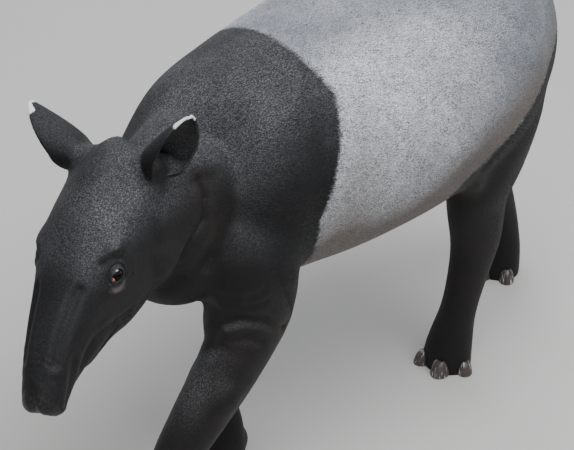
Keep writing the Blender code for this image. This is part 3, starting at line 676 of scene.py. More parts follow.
def earMesh(side):
    root, axis, facing, aside = earFrame(side)
    bm = bmesh.new()
    rows = []
    steps = ear["across"]
    for t, wide, half, spread in splineRows(ear["profile"], ear["rows"]):
        angle = math.radians(half)
        radius = wide / math.sin(min(angle, math.pi / 2))
        middle = root + axis * ear["length"] * t + facing * earLean(t) + aside * side * spread
        row = []
        for k in range(steps + 1):
            a = angle * (2 * k / steps - 1)
            rise = radius * (1 - math.cos(a)) + ear["ripple"] * math.sin(6 * a + 2) * t
            row.append(bm.verts.new(middle + aside * radius * math.sin(a) + facing * rise))
        rows.append(row)
    for a, b in zip(rows, rows[1:]):
        for k in range(steps):
            bm.faces.new((a[k], a[k + 1], b[k + 1], b[k]))
    bmesh.ops.recalc_face_normals(bm, faces=bm.faces)
    leaf = addObject("earLeaf", meshFrom("earLeaf", bm))
    thick = leaf.modifiers.new("thick", "SOLIDIFY")
    thick.thickness = ear["thickness"]
    thick.offset = 0
    applyModifiers(leaf)
    leaf.data.transform(headMatrix())
    return leaf


def joinEars(skin):
    for side in (1, -1):
        leaf = earMesh(side)
        join = skin.modifiers.new("join", "BOOLEAN")
        join.operation = "UNION"
        join.solver = "MANIFOLD"
        join.object = leaf
        applyModifiers(skin)
        bpy.data.objects.remove(leaf)


def refine(skin, test):
    # finer faces where the test holds, then evened out
    inside = test(readPoints(skin.data))
    bm = bmesh.new()
    bm.from_mesh(skin.data)
    edges = [e for e in bm.edges if inside[e.verts[0].index] and inside[e.verts[1].index]]
    bmesh.ops.subdivide_edges(bm, edges=edges, cuts=1, use_grid_fill=True)
    bmesh.ops.triangulate(bm, faces=[f for f in bm.faces if len(f.verts) > 4])
    bm.to_mesh(skin.data)
    bm.free()
    inside = test(readPoints(skin.data))
    group = skin.vertex_groups.new(name="fine")
    group.add([int(i) for i in np.nonzero(inside)[0]], 1.0, "REPLACE")
    evenOut(skin, 2, "fine")
    applyModifiers(skin)
    skin.vertex_groups.clear()


def nearEye(reach):
    at = np.array(eye["at"])
    return lambda points: np.linalg.norm(foldHead(headLocal(points)) - at, axis=1) < reach


skin = fuseFlesh()
# the head, the feet, the snout's end, then the eyes in two steps
for part in (lambda p: headLocal(p)[:, 0] > -0.24, lambda p: p[:, 2] < 0.09,
             lambda p: headLocal(p)[:, 0] > 0.195, nearEye(0.040), nearEye(0.031)):
    refine(skin, part)
joinEars(skin)
print("flesh fused:", len(skin.data.polygons), "faces")

# folds: points in the animal's frame, half width, depth, how much the sides swell
folds = {
    "cheek": ([(0.209, 0.146, 0.875), (0.204, 0.155, 0.839), (0.211, 0.158, 0.796), (0.234, 0.154, 0.766),
               (0.257, 0.143, 0.725), (0.256, 0.113, 0.661)], 0.019, 0.0072, 0.3),
    "cheekLine": ([(0.209, 0.146, 0.880), (0.204, 0.155, 0.839), (0.211, 0.158, 0.796), (0.234, 0.154, 0.766),
                   (0.257, 0.143, 0.725)], 0.0055, 0.0042, 0.4),
    "armTop": ([(0.178, 0.120, 0.470), (0.177, 0.125, 0.486), (0.176, 0.141, 0.525), (0.172, 0.152, 0.547),
                (0.146, 0.181, 0.559), (0.105, 0.203, 0.546), (0.047, 0.203, 0.504)], 0.012, 0.0065, 0.35),
    "armMid": ([(0.179, 0.139, 0.485), (0.167, 0.163, 0.515), (0.141, 0.185, 0.519), (0.109, 0.201, 0.499)],
               0.010, 0.0030, 0.35),
    "breastUpper": ([(0.176, 0.158, 0.619), (0.158, 0.182, 0.612), (0.134, 0.200, 0.613),
                     (0.115, 0.209, 0.617)],
                    0.0075, 0.0020, 0.5),
    "breastLower": ([(0.171, 0.159, 0.601), (0.153, 0.182, 0.592), (0.129, 0.200, 0.593),
                     (0.106, 0.210, 0.595)],
                    0.0075, 0.0024, 0.5),
    "neckSide": ([(0.177, 0.149, 0.867), (0.168, 0.159, 0.803), (0.175, 0.155, 0.740), (0.199, 0.143, 0.685)],
                 0.016, 0.0035, 0.4),
    "groin": ([(-0.53, 0.232, 0.660), (-0.515, 0.225, 0.600), (-0.53, 0.190, 0.550), (-0.555, 0.150, 0.510)],
              0.014, 0.007, 0.4),
    "groinRight": ([(-0.53, -0.235, 0.660), (-0.525, -0.225, 0.600), (-0.56, -0.185, 0.545),
                    (-0.60, -0.140, 0.505)],
                   0.014, 0.007, 0.4),
    "cheekRight": ([(0.235, -0.080, 0.900), (0.222, -0.105, 0.850), (0.228, -0.100, 0.790),
                    (0.246, -0.075, 0.730)],
                   0.013, 0.007, 0.4),
    "armRight": ([(-0.02, -0.17, 0.52), (-0.07, -0.185, 0.535), (-0.13, -0.17, 0.525)], 0.011, 0.006, 0.5),
}
# the same on the head, in its own frame, on both sides
headFolds = {
    "lip": ([(0.030, 0.071, -0.094), (0.060, 0.068, -0.080), (0.088, 0.066, -0.062), (0.117, 0.060, -0.052),
             (0.142, 0.054, -0.054), (0.169, 0.047, -0.068)], 0.0080, 0.0040, 0.6),
    "nasal": ([(0.074, 0.046, 0.036), (0.086, 0.042, 0.032), (0.113, 0.039, 0.024), (0.142, 0.035, 0.014),
               (0.171, 0.033, 0.002), (0.199, 0.031, -0.012)], 0.0085, 0.0048, 0.5),
    "hollow": ([(0.020, 0.069, 0.040), (0.010, 0.074, 0.037), (-0.002, 0.081, 0.036), (-0.012, 0.090, 0.022)],
               0.0080, 0.0036, 0.3),
    "eyeCorner": ([(0.022, 0.090, -0.002), (0.031, 0.090, -0.009)], 0.0024, 0.0024, 0.3),
    "snoutSide": ([(0.172, 0.044, -0.030), (0.200, 0.042, -0.052), (0.232, 0.038, -0.082)], 0.0070, 0.0034,
                  0.6),
    "jaw": ([(-0.100, 0.088, -0.130), (-0.040, 0.084, -0.128), (0.020, 0.074, -0.120)], 0.012, 0.0040, 0.4),
    "underEye": ([(0.040, 0.080, -0.006), (0.030, 0.083, -0.022), (0.012, 0.086, -0.030),
                  (-0.008, 0.089, -0.026)],
                 0.0042, 0.0022, 0.6),
}


snout = {
    # depth, half width, from where to where along the head
    "notch": (0.0080, 0.0085, 0.238, 0.262),
    "creases": (0.00032, 0.0118),  # depth, spacing
    "mouth": (0.0040, 0.0050, 0.6),  # half width, depth, swell
}


def foldDepth(distance, width, depth, swell):
    sides = bell(distance - 2.1 * width, 0.9 * width)
    return depth * (bell(distance, width) - 0.5 * swell * sides)


def smoothMax(a, b, k):
    h = np.clip(0.5 + 0.5 * (a - b) / k, 0, 1)
    return b + (a - b) * h + k * h * (1 - h)


def openLids(points):
    # lifts the lids over the eyeball and sinks the skin behind it inside the opening
    spots = []
    length, height = eye["opening"]
    radius = eye["radius"]
    for side in (1, -1):
        place = headMatrix() @ eyePlace(side)
        q = into(place, points)
        u, w, v = q[:, 0], q[:, 1] * side, q[:, 2]
        near = (np.linalg.norm(q, axis=1) < 0.045) & (w > -0.004)
        rise = v + 0.05 * u + 0.0016
        long = np.where(u > 0, length, length * eye["rear"])
        tall = np.where(rise > 0, height * eye["above"], height)
        rho = np.hypot(u / long, rise / tall)
        flat = u * u + v * v
        ball = np.sqrt(np.maximum(radius ** 2 - flat, 0))
        lid = np.sqrt(np.maximum((radius + eye["lid"]) ** 2 - flat, 0))
        at, half, high = eye["rim"]
        lid += high * bell(rho - at, half)
        share = smoothStep(2.9, 1.5, rho)
        outer = smoothMax(w, lid * share + w * (1 - share), 0.0015)
        for name, here in (("upperCrease", v > -0.002), ("lowerCrease", v <= -0.002)):
            at, half, deep = eye[name]
            outer -= deep * bell(rho - at, half) * here
        inner = np.where(flat < (radius * 0.96) ** 2, ball - 0.0050, w)
        w = np.where(near, inner + (outer - inner) * smoothStep(0.88, 1.04, rho), w)
        q[:, 1] = w * side
        points = np.where(near[:, None], outOf(place, q), points)
        spots.append((near, rho, u, v))
    return points, spots


def openNostrils(points):
    # each point inside the nostril's oval is pushed along its way, nearly to the far wall
    way = np.array(nostril["way"])
    way /= np.linalg.norm(way)
    for side in (1, -1):
        place = (headMatrix() @ Matrix.Diagonal((1, side, 1, 1))
                 @ Matrix.LocRotScale(Vector(nostril["at"]), degrees(nostril["turn"]),
                                      Vector(nostril["radii"])))
        q = into(place, points)
        inside = np.linalg.norm(q, axis=1) < 1.0
        b = q @ way
        far = -b + np.sqrt(np.maximum(b * b - (q * q).sum(1) + 1.0, 0))
        points = np.where(inside[:, None], outOf(place, q + way * (far * nostril["depth"])[:, None]), points)
    return points


def sculpt(skin):
    points, normals = readPoints(skin.data), readNormals(skin.data)
    local = headLocal(points)
    folded = foldHead(local)
    x, y, z = local.T
    # the coat is thinner over the feet and the face, and there is none outside the ears
    sink = np.full(len(points), flesh["coatDepth"])
    sink = np.where(points[:, 2] < 0.12, 0.0008 + 0.0014 * smoothStep(0.04, 0.12, points[:, 2]), sink)
    sink = np.where(x > 0.02, flesh["coatDepth"] - 0.0010 * smoothStep(0.02, 0.15, x), sink)
    sink = sink * (1 - earShare(local))
    for line, *shape in folds.values():
        sink += foldDepth(lineDistance(points, line), *shape)
    for line, *shape in headFolds.values():
        sink += foldDepth(lineDistance(folded, line), *shape)
    # the notch between the two lobes of the snout's end
    ahead = normals @ np.array(headMatrix())[:3, 0]
    deep, half, start, end = snout["notch"]
    sink += deep * bell(y, half) * smoothStep(start, end, x) * np.clip(ahead, 0.1, 1)
    # the mouth: a groove seen from the side
    atMouth = lineDistance(folded[:, [0, 2]], mouthLine)
    sink += foldDepth(atMouth, *snout["mouth"]) * smoothStep(0.004, 0.016, folded[:, 1])
    # faint uneven creases round the snout
    deep, spacing = snout["creases"]
    around = np.arctan2(y, z + 0.05 + 0.4 * (x - 0.2))
    crease = (x + 0.35 * z) * 2 * math.pi / spacing + 1.5 * np.sin(1.7 * around + 90 * x)
    crease = (np.sin(crease + 0.9 * np.sin(5.3 * around + 2.0))
              * (0.55 + 0.45 * np.sin(2.9 * around + 160 * x)))
    onSnout = smoothStep(0.150, 0.200, x) * smoothStep(0.272, 0.245, x)
    sink += deep * crease * onSnout * smoothStep(-0.14, -0.04, z + 0.3 * (x - 0.2))
    points, spots = openLids(points - normals * sink[:, None])
    points = openNostrils(points)
    points[:, 2] = np.maximum(points[:, 2], 0.0006)
    writePoints(skin.data, points)
    return spots


def earParts(local):
    # for each ear: how much a point belongs to it, how far along, across and in front of its middle it
    # lies, and the way the ear faces
    reach, halves, _, spreads = zip(*ear["profile"])
    for side in (1, -1):
        root, axis, facing, aside = (np.array(v) for v in earFrame(side))
        q = local - root
        up = q @ axis
        t = up / ear["length"]
        off = np.linalg.norm(q - np.outer(up, axis), axis=1)
        here = smoothStep(0.10, 0.26, t) * (off < 0.074) * (local[:, 0] < -0.12)
        across = (q @ aside * -side + np.interp(t, reach, spreads)) / np.interp(t, reach, halves)
        yield here, t, np.clip(across, -1.2, 1.2), q @ facing - earLean(t), facing


def earShare(local):
    return np.maximum.reduce([part[0] for part in earParts(local)])


def earField(local, normals):
    # the white of the front rim and tip, and the pale hairs on the hollow side of the rear wall where it
    # faces out, partly painted light
    turn = np.array(headMatrix())[:3, :3]
    rim, inner = np.zeros((2, len(local)))
    for here, t, across, ahead, facing in earParts(local):
        white = np.maximum.reduce([smoothStep(0.62, 0.82, across) * smoothStep(0.80, 0.88, t),
                                   smoothStep(0.60, 0.85, -across) * smoothStep(0.90, 0.96, t),
                                   smoothStep(0.945, 0.98, t)])
        rim = np.where(here > 0, white, rim)
        hollow = smoothStep(0.10, -0.30, across) * smoothStep(-0.02, 0.30, normals @ (turn @ facing))
        hollow = hollow * (ahead > 0)
        inner = np.where(here > 0, hollow * smoothStep(0.95, 0.75, t), inner)
    return rim, inner


def saddleDistance(points):
    # positive inside the pale saddle, seen from the side, with its own front line on each flank
    p = points[:, [0, 2]]

    def oneSide(front):
        ring = front + saddleRear[::-1] + [(-1.2, 1.25), (-0.10, 1.25), front[0]]
        inside = np.zeros(len(p), bool)
        for (ax, az), (bx, bz) in zip(ring, ring[1:]):
            if az != bz:
                cross = (az > p[:, 1]) != (bz > p[:, 1])
                inside ^= cross & (p[:, 0] < ax + (p[:, 1] - az) * (bx - ax) / (bz - az))
        best = lineDistance(p, ring)
        return np.where(inside, best, -best)

    toLeft = smoothStep(-0.08, 0.06, points[:, 1])
    return oneSide(saddleFrontLeft) * toLeft + oneSide(saddleFrontRight) * (1 - toLeft)


def unit(v):
    return v / np.maximum(np.linalg.norm(v, axis=1), 1e-9)[:, None]


# which way the hair lies: back along the trunk, neck and head, down the legs and tail; on the trunk and
# head it also leans out to its own side
lieWays = {
    "trunk": (-1.0, 0.0, -0.22),
    "neck": (-0.75, 0.0, -0.65),
    "head": (-1.0, 0.0, -0.10),
    "legs": (-0.12, 0.0, -1.0),
    "tail": (-0.25, 0.0, -1.0),
    "trunkOut": 0.10,
    "headOut": 0.22,
}
# sizes of the tufts as shares of the longest, on the saddle; "less" is what is taken off by degrees
tuftSizes = {"black": 0.92, "neckLess": 0.25, "headLess": 0.38, "snoutLess": 0.30, "lowLess": 0.45,
             "ear": 0.55, "toes": 0.42, "eye": 0.30}


def hairLie(points, local, normals, onHead, neck, legs, tail, earness):
    turn = np.array(headMatrix())[:3, :3]
    lie = np.tile(np.array(lieWays["trunk"]), (len(points), 1))
    lie[:, 1] += lieWays["trunkOut"] * np.sign(points[:, 1])
    lie = blend(lie, np.array(lieWays["neck"]), neck)
    headWay = np.tile(np.array(lieWays["head"]), (len(points), 1))
    headWay[:, 1] += lieWays["headOut"] * np.sign(local[:, 1]) * smoothStep(0.02, 0.05, np.abs(local[:, 1]))
    lie = blend(lie, headWay @ turn.T, onHead)
    lie = blend(lie, np.array(lieWays["legs"]), legs)
    lie = np.where(tail[:, None], np.array(lieWays["tail"]), lie)
    for side in (1, -1):
        lie = blend(lie, turn @ np.array(earFrame(side)[1]), earness * (local[:, 1] * side > 0))
    lie = unit(lie)
    return unit(lie - normals * (lie * normals).sum(1)[:, None])


def coatFields(skin, spots):
    mesh = skin.data
    points, normals = readPoints(mesh), readNormals(mesh)
    local = headLocal(points)
    folded = foldHead(local)
    x, y, z = points.T
    n = len(points)
    earness = earShare(local)
    rim, inner = earField(local, normals)
    onHead = smoothStep(-0.26, -0.18, local[:, 0])
    neck = smoothStep(0.06, 0.22, x) * (1 - onHead)
    legs = smoothStep(0.66, 0.46, z) * (1 - onHead)
    tail = (x < -0.885) & (np.abs(y) < 0.06) & (z < 0.86)
    pale = np.where(onHead > 0, -0.2, saddleDistance(points))
    pale = np.where((x < -0.925) & tail, -0.05, pale)
    # size of the tufts, smallest on the face and feet
    size = np.where(pale > 0, 1.0, tuftSizes["black"])
    size *= 1 - tuftSizes["neckLess"] * neck
    size *= 1 - onHead * (tuftSizes["headLess"] + tuftSizes["snoutLess"]
                          * smoothStep(-0.10, 0.18, local[:, 0]))
    size *= 1 - tuftSizes["lowLess"] * smoothStep(0.45, 0.10, z)
    size = np.where(earness > 0.4, tuftSizes["ear"], size)
    # bare hide: the snout's end and the lids, with a pale patch below each eye
    bare = smoothStep(0.248, 0.262, local[:, 0] + 0.10 * (local[:, 2] + 0.08)) * onHead
    lids, lowerLid = np.zeros((2, n))
    for near, rho, u, v in spots:
        lids = np.where(near, np.maximum(lids, smoothStep(1.42, 1.12, rho)), lids)
        below = smoothStep(-0.006, -0.012, v) * smoothStep(2.95, 2.35, rho) * smoothStep(1.75, 2.15, rho)
        below *= smoothStep(-0.016, -0.002, u) * smoothStep(0.026, 0.012, u)
        lowerLid = np.where(near, np.maximum(lowerLid, below), lowerLid)
        size = np.where(near & (rho < 2.4), np.minimum(size, tuftSizes["eye"]), size)
    # how thickly the tufts stand: none on bare hide, soles and hooves
    cover = (1 - smoothStep(0.05, 0.9, lids)) * (1 - bare)
    cover = np.where(z < 0.010, 0.0, cover)
    for _, _, place, scale in eachToe():
        q = into(place, points)
        onHoof = (q[:, 0] > -0.012) & (np.abs(q[:, 1]) < 0.022 * scale) & (q[:, 2] < 0.032 * scale)
        cover = np.where(onHoof, 0.0, cover)
        size = np.where(np.linalg.norm(q, axis=1) < 0.06, np.minimum(size, tuftSizes["toes"]), size)
    # warmth: browner low on the trunk, breast, legs and behind the cheek, and along the saddle's rear edge;
    # on the saddle the low and downward-facing parts are also darkened as painted shade
    warm = 0.35 * smoothStep(0.66, 0.50, z) + 0.25 * smoothStep(-0.2, -0.7, normals[:, 2])
    warm += 0.45 * bell(lineDistance(points, [(0.20, 0.155, 0.86), (0.20, 0.16, 0.76)]), 0.05)
    margin = smoothStep(0.15, 0.02, pale) * smoothStep(-0.02, -0.22, x) * smoothStep(0.90, 0.76, z)
    # the saddle's lower part and underside darken toward brown as painted shade
    warm = np.where(pale > 0, 1.6 * warm + 0.9 * smoothStep(0.80, 0.50, z) + 0.9 * margin, warm)
    # paler hair tips and painted sheen where the head, neck, shoulders and back face up, less on the snout,
    # above the eye and on the ears, where pale hairs with painted light fill the hollow side; the saddle is
    # darker grey along its upward-facing back and toward the rump
    silver = smoothStep(0.05, 0.75, normals[:, 2]) * smoothStep(0.15, 0.40, z)
    silver *= 1 - 0.85 * smoothStep(0.015, 0.075, local[:, 0]) * onHead
    silver *= 1 - 0.8 * bell(lineDistance(folded, [(0.024, 0.069, 0.040), (-0.002, 0.081, 0.036),
                                                   (-0.012, 0.090, 0.020)]), 0.014)
    silver = np.maximum(silver * (1 - 0.6 * earness), 0.55 * inner * earness)
    grey = 0.95 * smoothStep(0.72, 0.97, normals[:, 2]) + 1.1 * smoothStep(-0.30, -0.66, x)
    found = {"pale": pale, "lie": hairLie(points, local, normals, onHead, neck, legs, tail, earness),
             "tuftSize": size, "cover": cover, "silver": np.where(pale > 0, np.clip(grey, 0, 1), silver),
             "warm": np.clip(warm, 0, 1), "rim": earness * rim, "lids": lids, "lowerLid": lowerLid,
             "bare": bare, "legs": legs}
    for name, values in found.items():
        writeField(mesh, name, values)


spots = sculpt(skin)
coatFields(skin, spots)
smoothFaces(skin)
print("skin sculpted:", len(skin.data.vertices), "points")

coat = {
    "black": (0.0058, 0.0056, 0.0062),
    "charcoal": (0.024, 0.0245, 0.0275),
    # paler hair tips and painted sheen on the black coat
    "silver": (0.170, 0.172, 0.186),
    "brown": (0.026, 0.0185, 0.0145),
    "pale": (0.86, 0.875, 0.895),
    "paleGrey": (0.27, 0.285, 0.32),
    # the pale hair's brown low down, also standing for painted shade
    "paleWarmAndShade": (0.235, 0.187, 0.150),
    "speck": (0.085, 0.093, 0.115),
    "rim": (0.86, 0.85, 0.83),
    "edge": 0.0065,  # half width of the blend where black meets pale
    "sheen": 0.03,
    "gloss": 0.22,
    # bare skin: the snout's end between two tones, the lids, and the patch below the eye
    "hide": ((0.010, 0.009, 0.009), (0.030, 0.027, 0.027)),
    "lid": (0.042, 0.043, 0.038),
    "lowerLid": (0.17, 0.135, 0.13),
}


def newGroup(name, kind, inputs, output):
    # a node group with its inputs by name and kind, and its one output
    tree = bpy.data.node_groups.new(name, kind)
    for socket, sort in inputs.items():
        tree.interface.new_socket(socket, in_out="INPUT", socket_type="NodeSocket" + sort)
    tree.interface.new_socket(output, in_out="OUTPUT", socket_type="NodeSocket" + output)
    return tree, addNode(tree, "NodeGroupInput").outputs


def endGroup(tree, result):
    tree.links.new(result, addNode(tree, "NodeGroupOutput").inputs[0])
    return tree


def markingsGroup():
    # black and pale hair with its speckle, from the fields on the skin
    floats = {name: "Float" for name in ("Saddle", "Warm", "Rim", "Legs", "Silver", "Shade", "Height")}
    tree, given = newGroup("coatMarkings", "ShaderNodeTree", {"Vector": "Vector", **floats}, "Color")
    at, shade, silver = given["Vector"], given["Shade"], given["Silver"]
    # streaks run along the lie: back over the trunk, down the legs
    streak = mixValue(tree, given["Legs"], hairNoise(tree, at, (170, 480, 420)),
                      hairNoise(tree, at, (460, 460, 180)))
    # hairs cross the edge of the saddle
    wander = noiseNode(tree, at, 60, 4.0, 0.6)
    distance = plus(tree, given["Saddle"], swing(tree, wander, 0.012), swing(tree, streak, 0.014),
                    swing(tree, shade, 0.013))
    pale = remap(tree, distance, -coat["edge"], coat["edge"])
    # black hair: charcoal tips over black, browner where it is warm
    broad = noiseNode(tree, at, 7.0)
    lit = plus(tree, times(tree, remap(tree, streak, 0.36, 0.72), given["Height"]), swing(tree, shade, 0.55),
               swing(tree, broad, 0.5))
    dark = mixColour(tree, remap(tree, lit, 0.0, 1.0, soft=False), coat["black"], coat["charcoal"])
    warmth = times(tree, given["Warm"], remap(tree, noiseNode(tree, at, 16), 0.3, 0.7, 0.35, 1.0))
    dark = mixColour(tree, warmth, dark, coat["brown"])
    # bright tips scattered over the upper side: painted sheen, with the hair's own paler tips
    sheenTips = plus(tree, hairNoise(tree, at, (290, 430, 430), roughness=0.8), swing(tree, shade, 0.20))
    sheenTips = times(tree, remap(tree, sheenTips, 0.42, 0.64, 0.06, 1.0), times(tree, silver, 0.80))
    dark = mixColour(tree, times(tree, sheenTips, remap(tree, broad, 0.3, 0.7, 0.55, 1.15)), dark, coat["silver"])
    # pale hair: greyer in clouds, wisps and over the back, browner and darker below, partly painted shade,
    # with grey specks between
    cloud = remap(tree, noiseNode(tree, at, 9.0, 4.0), 0.30, 0.72)
    light = mixColour(tree, plus(tree, times(tree, cloud, 0.25), times(tree, silver, 0.75)), coat["pale"],
                      coat["paleGrey"])
    wisps = remap(tree, hairNoise(tree, at, (75, 130, 120)), 0.60, 0.40, 0.0, 0.30)
    light = mixColour(tree, wisps, light, coat["paleGrey"])
    # browner low down and darker underneath: brown hair and painted shade
    light = mixColour(tree, given["Warm"], light, coat["paleWarmAndShade"])
    speck = plus(tree, hairNoise(tree, at, (290, 540, 510), 4.0, 0.9), swing(tree, shade, 0.16))
    patches = remap(tree, noiseNode(tree, at, 38), 0.36, 0.64, 0.80, 1.0)
    light = mixColour(tree, times(tree, remap(tree, speck, 0.56, 0.42), patches), light, coat["speck"])
    colour = mixColour(tree, pale, dark, light)
    rim = remap(tree, plus(tree, given["Rim"], swing(tree, streak, 0.5)), 0.40, 0.60)
    return endGroup(tree, mixColour(tree, rim, colour, coat["rim"]))


def grainGroup():
    # the fine relief of short hair lying flat, as a height
    tree, given = newGroup("hairGrain", "ShaderNodeTree", {"Vector": "Vector", "Legs": "Float"}, "Float")
    at = given["Vector"]
    flow = mixValue(tree, given["Legs"], hairNoise(tree, at, (210, 560, 480)),
                    hairNoise(tree, at, (540, 540, 210)))
    return endGroup(tree, plus(tree, flow, times(tree, noiseNode(tree, at, 60), 0.15)))


def useGroup(tree, group, **values):
    node = addNode(tree, "ShaderNodeGroup", node_tree=group)
    feed(tree, node.inputs["Vector"], objectPlace(tree))
    for name, value in values.items():
        feed(tree, node.inputs[name], value)
    return node.outputs[0]


def coatColour(tree, shader, markings, shade, height):
    # the markings on the skin or on a tuft, with the dull sheen of hair
    setInputs(shader, Sheen_Weight=coat["sheen"], Sheen_Roughness=0.45, Specular_IOR_Level=coat["gloss"])
    fields = {"Saddle": "pale", "Warm": "warm", "Rim": "rim", "Legs": "legs", "Silver": "silver"}
    return useGroup(tree, markings, Shade=shade, Height=height,
                    **{name: field(tree, source) for name, source in fields.items()})


def skinFinish(markings, grain):
    material, tree, shader = newMaterial("skin_coat")
    colour = coatColour(tree, shader, markings, 0.42, 0.45)
    bare = field(tree, "bare")
    hide = mixColour(tree, remap(tree, noiseNode(tree, objectPlace(tree), 240), 0.35, 0.7), *coat["hide"])
    colour = mixColour(tree, bare, colour, hide)
    colour = mixColour(tree, times(tree, field(tree, "lids"), 0.8), colour, coat["lid"])
    colour = mixColour(tree, times(tree, field(tree, "lowerLid"), 0.70), colour, coat["lowerLid"])
    tree.links.new(colour, shader.inputs["Base Color"])
    tree.links.new(remap(tree, bare, 0.0, 1.0, 0.58, 0.40), shader.inputs["Roughness"])
    addBump(tree, shader, useGroup(tree, grain, Legs=field(tree, "legs")), 0.55, 0.0016)
    return material


def tuftFinish(markings):
    material, tree, shader = newMaterial("coat_tufts")
    tree.links.new(coatColour(tree, shader, markings, field(tree, "shade"), 0.85),
                   shader.inputs["Base Color"])
    setInputs(shader, Roughness=0.52)
    return material


# tufts: short flat blades over every side
tufts = {
    "length": 0.0090,
    "width": 0.00095,
    "lift": 0.0015,  # how far a tuft stands off the skin
    "jitter": 0.22,
    "patch": 0.003,  # how wide each tuft's patch of the bake map is
    # the most tufts in each coat piece
    "counts": {"coatHead": 32500, "coatEars": 9000, "coatNeck": 24000, "coatFore": 32500,
               "coatSaddleLeft": 32500, "coatSaddleRight": 32500, "coatHind": 32500,
               "coatForelegs": 22000, "coatHindlegs": 24000},
}


def bladeShape():
    # a closed sliver: root under the skin, widest a third along, tip lying flat
    bm = bmesh.new()
    root = -0.12
    points = [(root, 0, -0.55), (0.34, 0.5, 0.20), (0.38, 0, 0.42), (0.34, -0.5, 0.20), (1.0, 0, 0.26)]
    verts = [bm.verts.new(p) for p in points]
    uv = bm.loops.layers.uv.new("bladeUv")
    for a, b, c in ((0, 2, 1), (0, 3, 2), (0, 1, 3), (4, 1, 2), (4, 2, 3), (4, 3, 1)):
        for loop in bm.faces.new((verts[a], verts[b], verts[c])).loops:
            loop[uv].uv = ((loop.vert.co.x - root) / (1 - root), loop.vert.co.y + 0.5)
    bmesh.ops.recalc_face_normals(bm, faces=bm.faces)
    return addObject("blade", meshFrom("blade", bm))


def step(tree, kind, result, feeds, **settings):
    # a node with its inputs fed by name or number, and the output that is used
    node = addNode(tree, kind, **settings)
    for name, value in feeds.items():
        feed(tree, node.inputs[name], value)
    return node.outputs[result]


def named(tree, name, kind="FLOAT"):
    return step(tree, "GeometryNodeInputNamedAttribute", 0, {"Name": name}, data_type=kind)


def store(tree, geometry, name, value, kind, domain):
    return step(tree, "GeometryNodeStoreNamedAttribute", "Geometry",
                {"Geometry": geometry, "Name": name, "Value": value}, data_type=kind, domain=domain)


def vectorSum(tree, a, b):
    return step(tree, "ShaderNodeVectorMath", 0, {0: a, 1: b}, operation="ADD")


def vectorScale(tree, vector, factor):
    return step(tree, "ShaderNodeVectorMath", 0, {0: vector, "Scale": factor}, operation="SCALE")


def randomValue(tree, low, high, seed, kind="FLOAT"):
    first, result = {"FLOAT": (2, 1), "FLOAT_VECTOR": (0, 0)}[kind]
    return step(tree, "FunctionNodeRandomValue", result, {first: low, first + 1: high, "Seed": seed},
                data_type=kind)


def tuftTree():
    kinds = {"Geometry": "Geometry", "Blade": "Object", "Material": "Material", "Seed": "Int"}
    kinds.update({name: "Float" for name in ("Density", "Length", "Width", "Lift", "Jitter", "Patch")})
    tree, given = newGroup("coatTufts", "GeometryNodeTree", kinds, "Geometry")
    seed = given["Seed"]
    size = named(tree, "tuftSize")
    density = times(tree, given["Density"], calc(tree, "DIVIDE", named(tree, "cover"), size))
    scatter = addNode(tree, "GeometryNodeDistributePointsOnFaces", distribute_method="RANDOM")
    for name, value in (("Mesh", given["Geometry"]), ("Density", density), ("Seed", seed)):
        feed(tree, scatter.inputs[name], value)
    shade = randomValue(tree, 0.0, 1.0, plus(tree, seed, 7))
    points = store(tree, scatter.outputs["Points"], "shade", shade, "FLOAT", "POINT")
    # each lies along the hair, a little astray
    stray = randomValue(tree, (-1, -1, -1), (1, 1, 1), seed, "FLOAT_VECTOR")
    way = vectorSum(tree, named(tree, "lie", "FLOAT_VECTOR"), vectorScale(tree, stray, given["Jitter"]))
    turn = step(tree, "FunctionNodeAlignRotationToVector", "Rotation",
                {"Rotation": scatter.outputs["Rotation"], "Vector": way}, axis="X", pivot_axis="Z")
    vary = times(tree, size, randomValue(tree, 0.7, 1.3, plus(tree, seed, 3)))
    shape = step(tree, "ShaderNodeCombineXYZ", 0, {
        0: times(tree, given["Length"], vary),
        1: times(tree, given["Width"], calc(tree, "POWER", vary, 0.6)),
        2: times(tree, given["Lift"], vary)})
    blade = step(tree, "GeometryNodeObjectInfo", "Geometry", {"Object": given["Blade"]},
                 transform_space="ORIGINAL")
    blades = step(tree, "GeometryNodeInstanceOnPoints", 0,
                  {"Points": points, "Instance": blade, "Rotation": turn, "Scale": shape})
    blades = step(tree, "GeometryNodeRealizeInstances", 0, {"Geometry": blades})
    # each tuft's patch of the bake map, at its root's place on the skin's own unwrap
    patch = vectorSum(tree, named(tree, "bladeUv", "FLOAT_VECTOR"), (-0.5, -0.5, 0.0))
    place = vectorSum(tree, named(tree, "unwrap", "FLOAT_VECTOR"), vectorScale(tree, patch, given["Patch"]))
    blades = store(tree, blades, "OFBake", place, "FLOAT2", "CORNER")
    return endGroup(tree, step(tree, "GeometryNodeSetMaterial", 0,
                               {"Geometry": blades, "Material": given["Material"]}))


def coatRegions(skin):
    # which coat piece each face of the skin belongs to; a later row takes over an earlier one's faces
    centres = np.empty(len(skin.data.polygons) * 3, np.float32)
    skin.data.polygons.foreach_get("center", centres)
    centres = centres.reshape(-1, 3).astype(np.float64)
    x, y, z = centres.T
    local = headLocal(centres)
    pale = saddleDistance(centres) > 0
    legs = z < 0.47
    names = np.full(len(x), "coatFore", dtype=object)
    for name, here in (("coatSaddleLeft", pale & (y >= 0)), ("coatSaddleRight", pale & (y < 0)),
                       ("coatHind", ~pale & (x < -0.3)), ("coatNeck", ~pale & (x > 0.06) & (z > 0.62)),
                       ("coatForelegs", legs & (x > -0.3)), ("coatHindlegs", legs & (x <= -0.3)),
                       ("coatHead", local[:, 0] > -0.20), ("coatEars", earShare(local) > 0.02)):
        names[here] = name
    return names


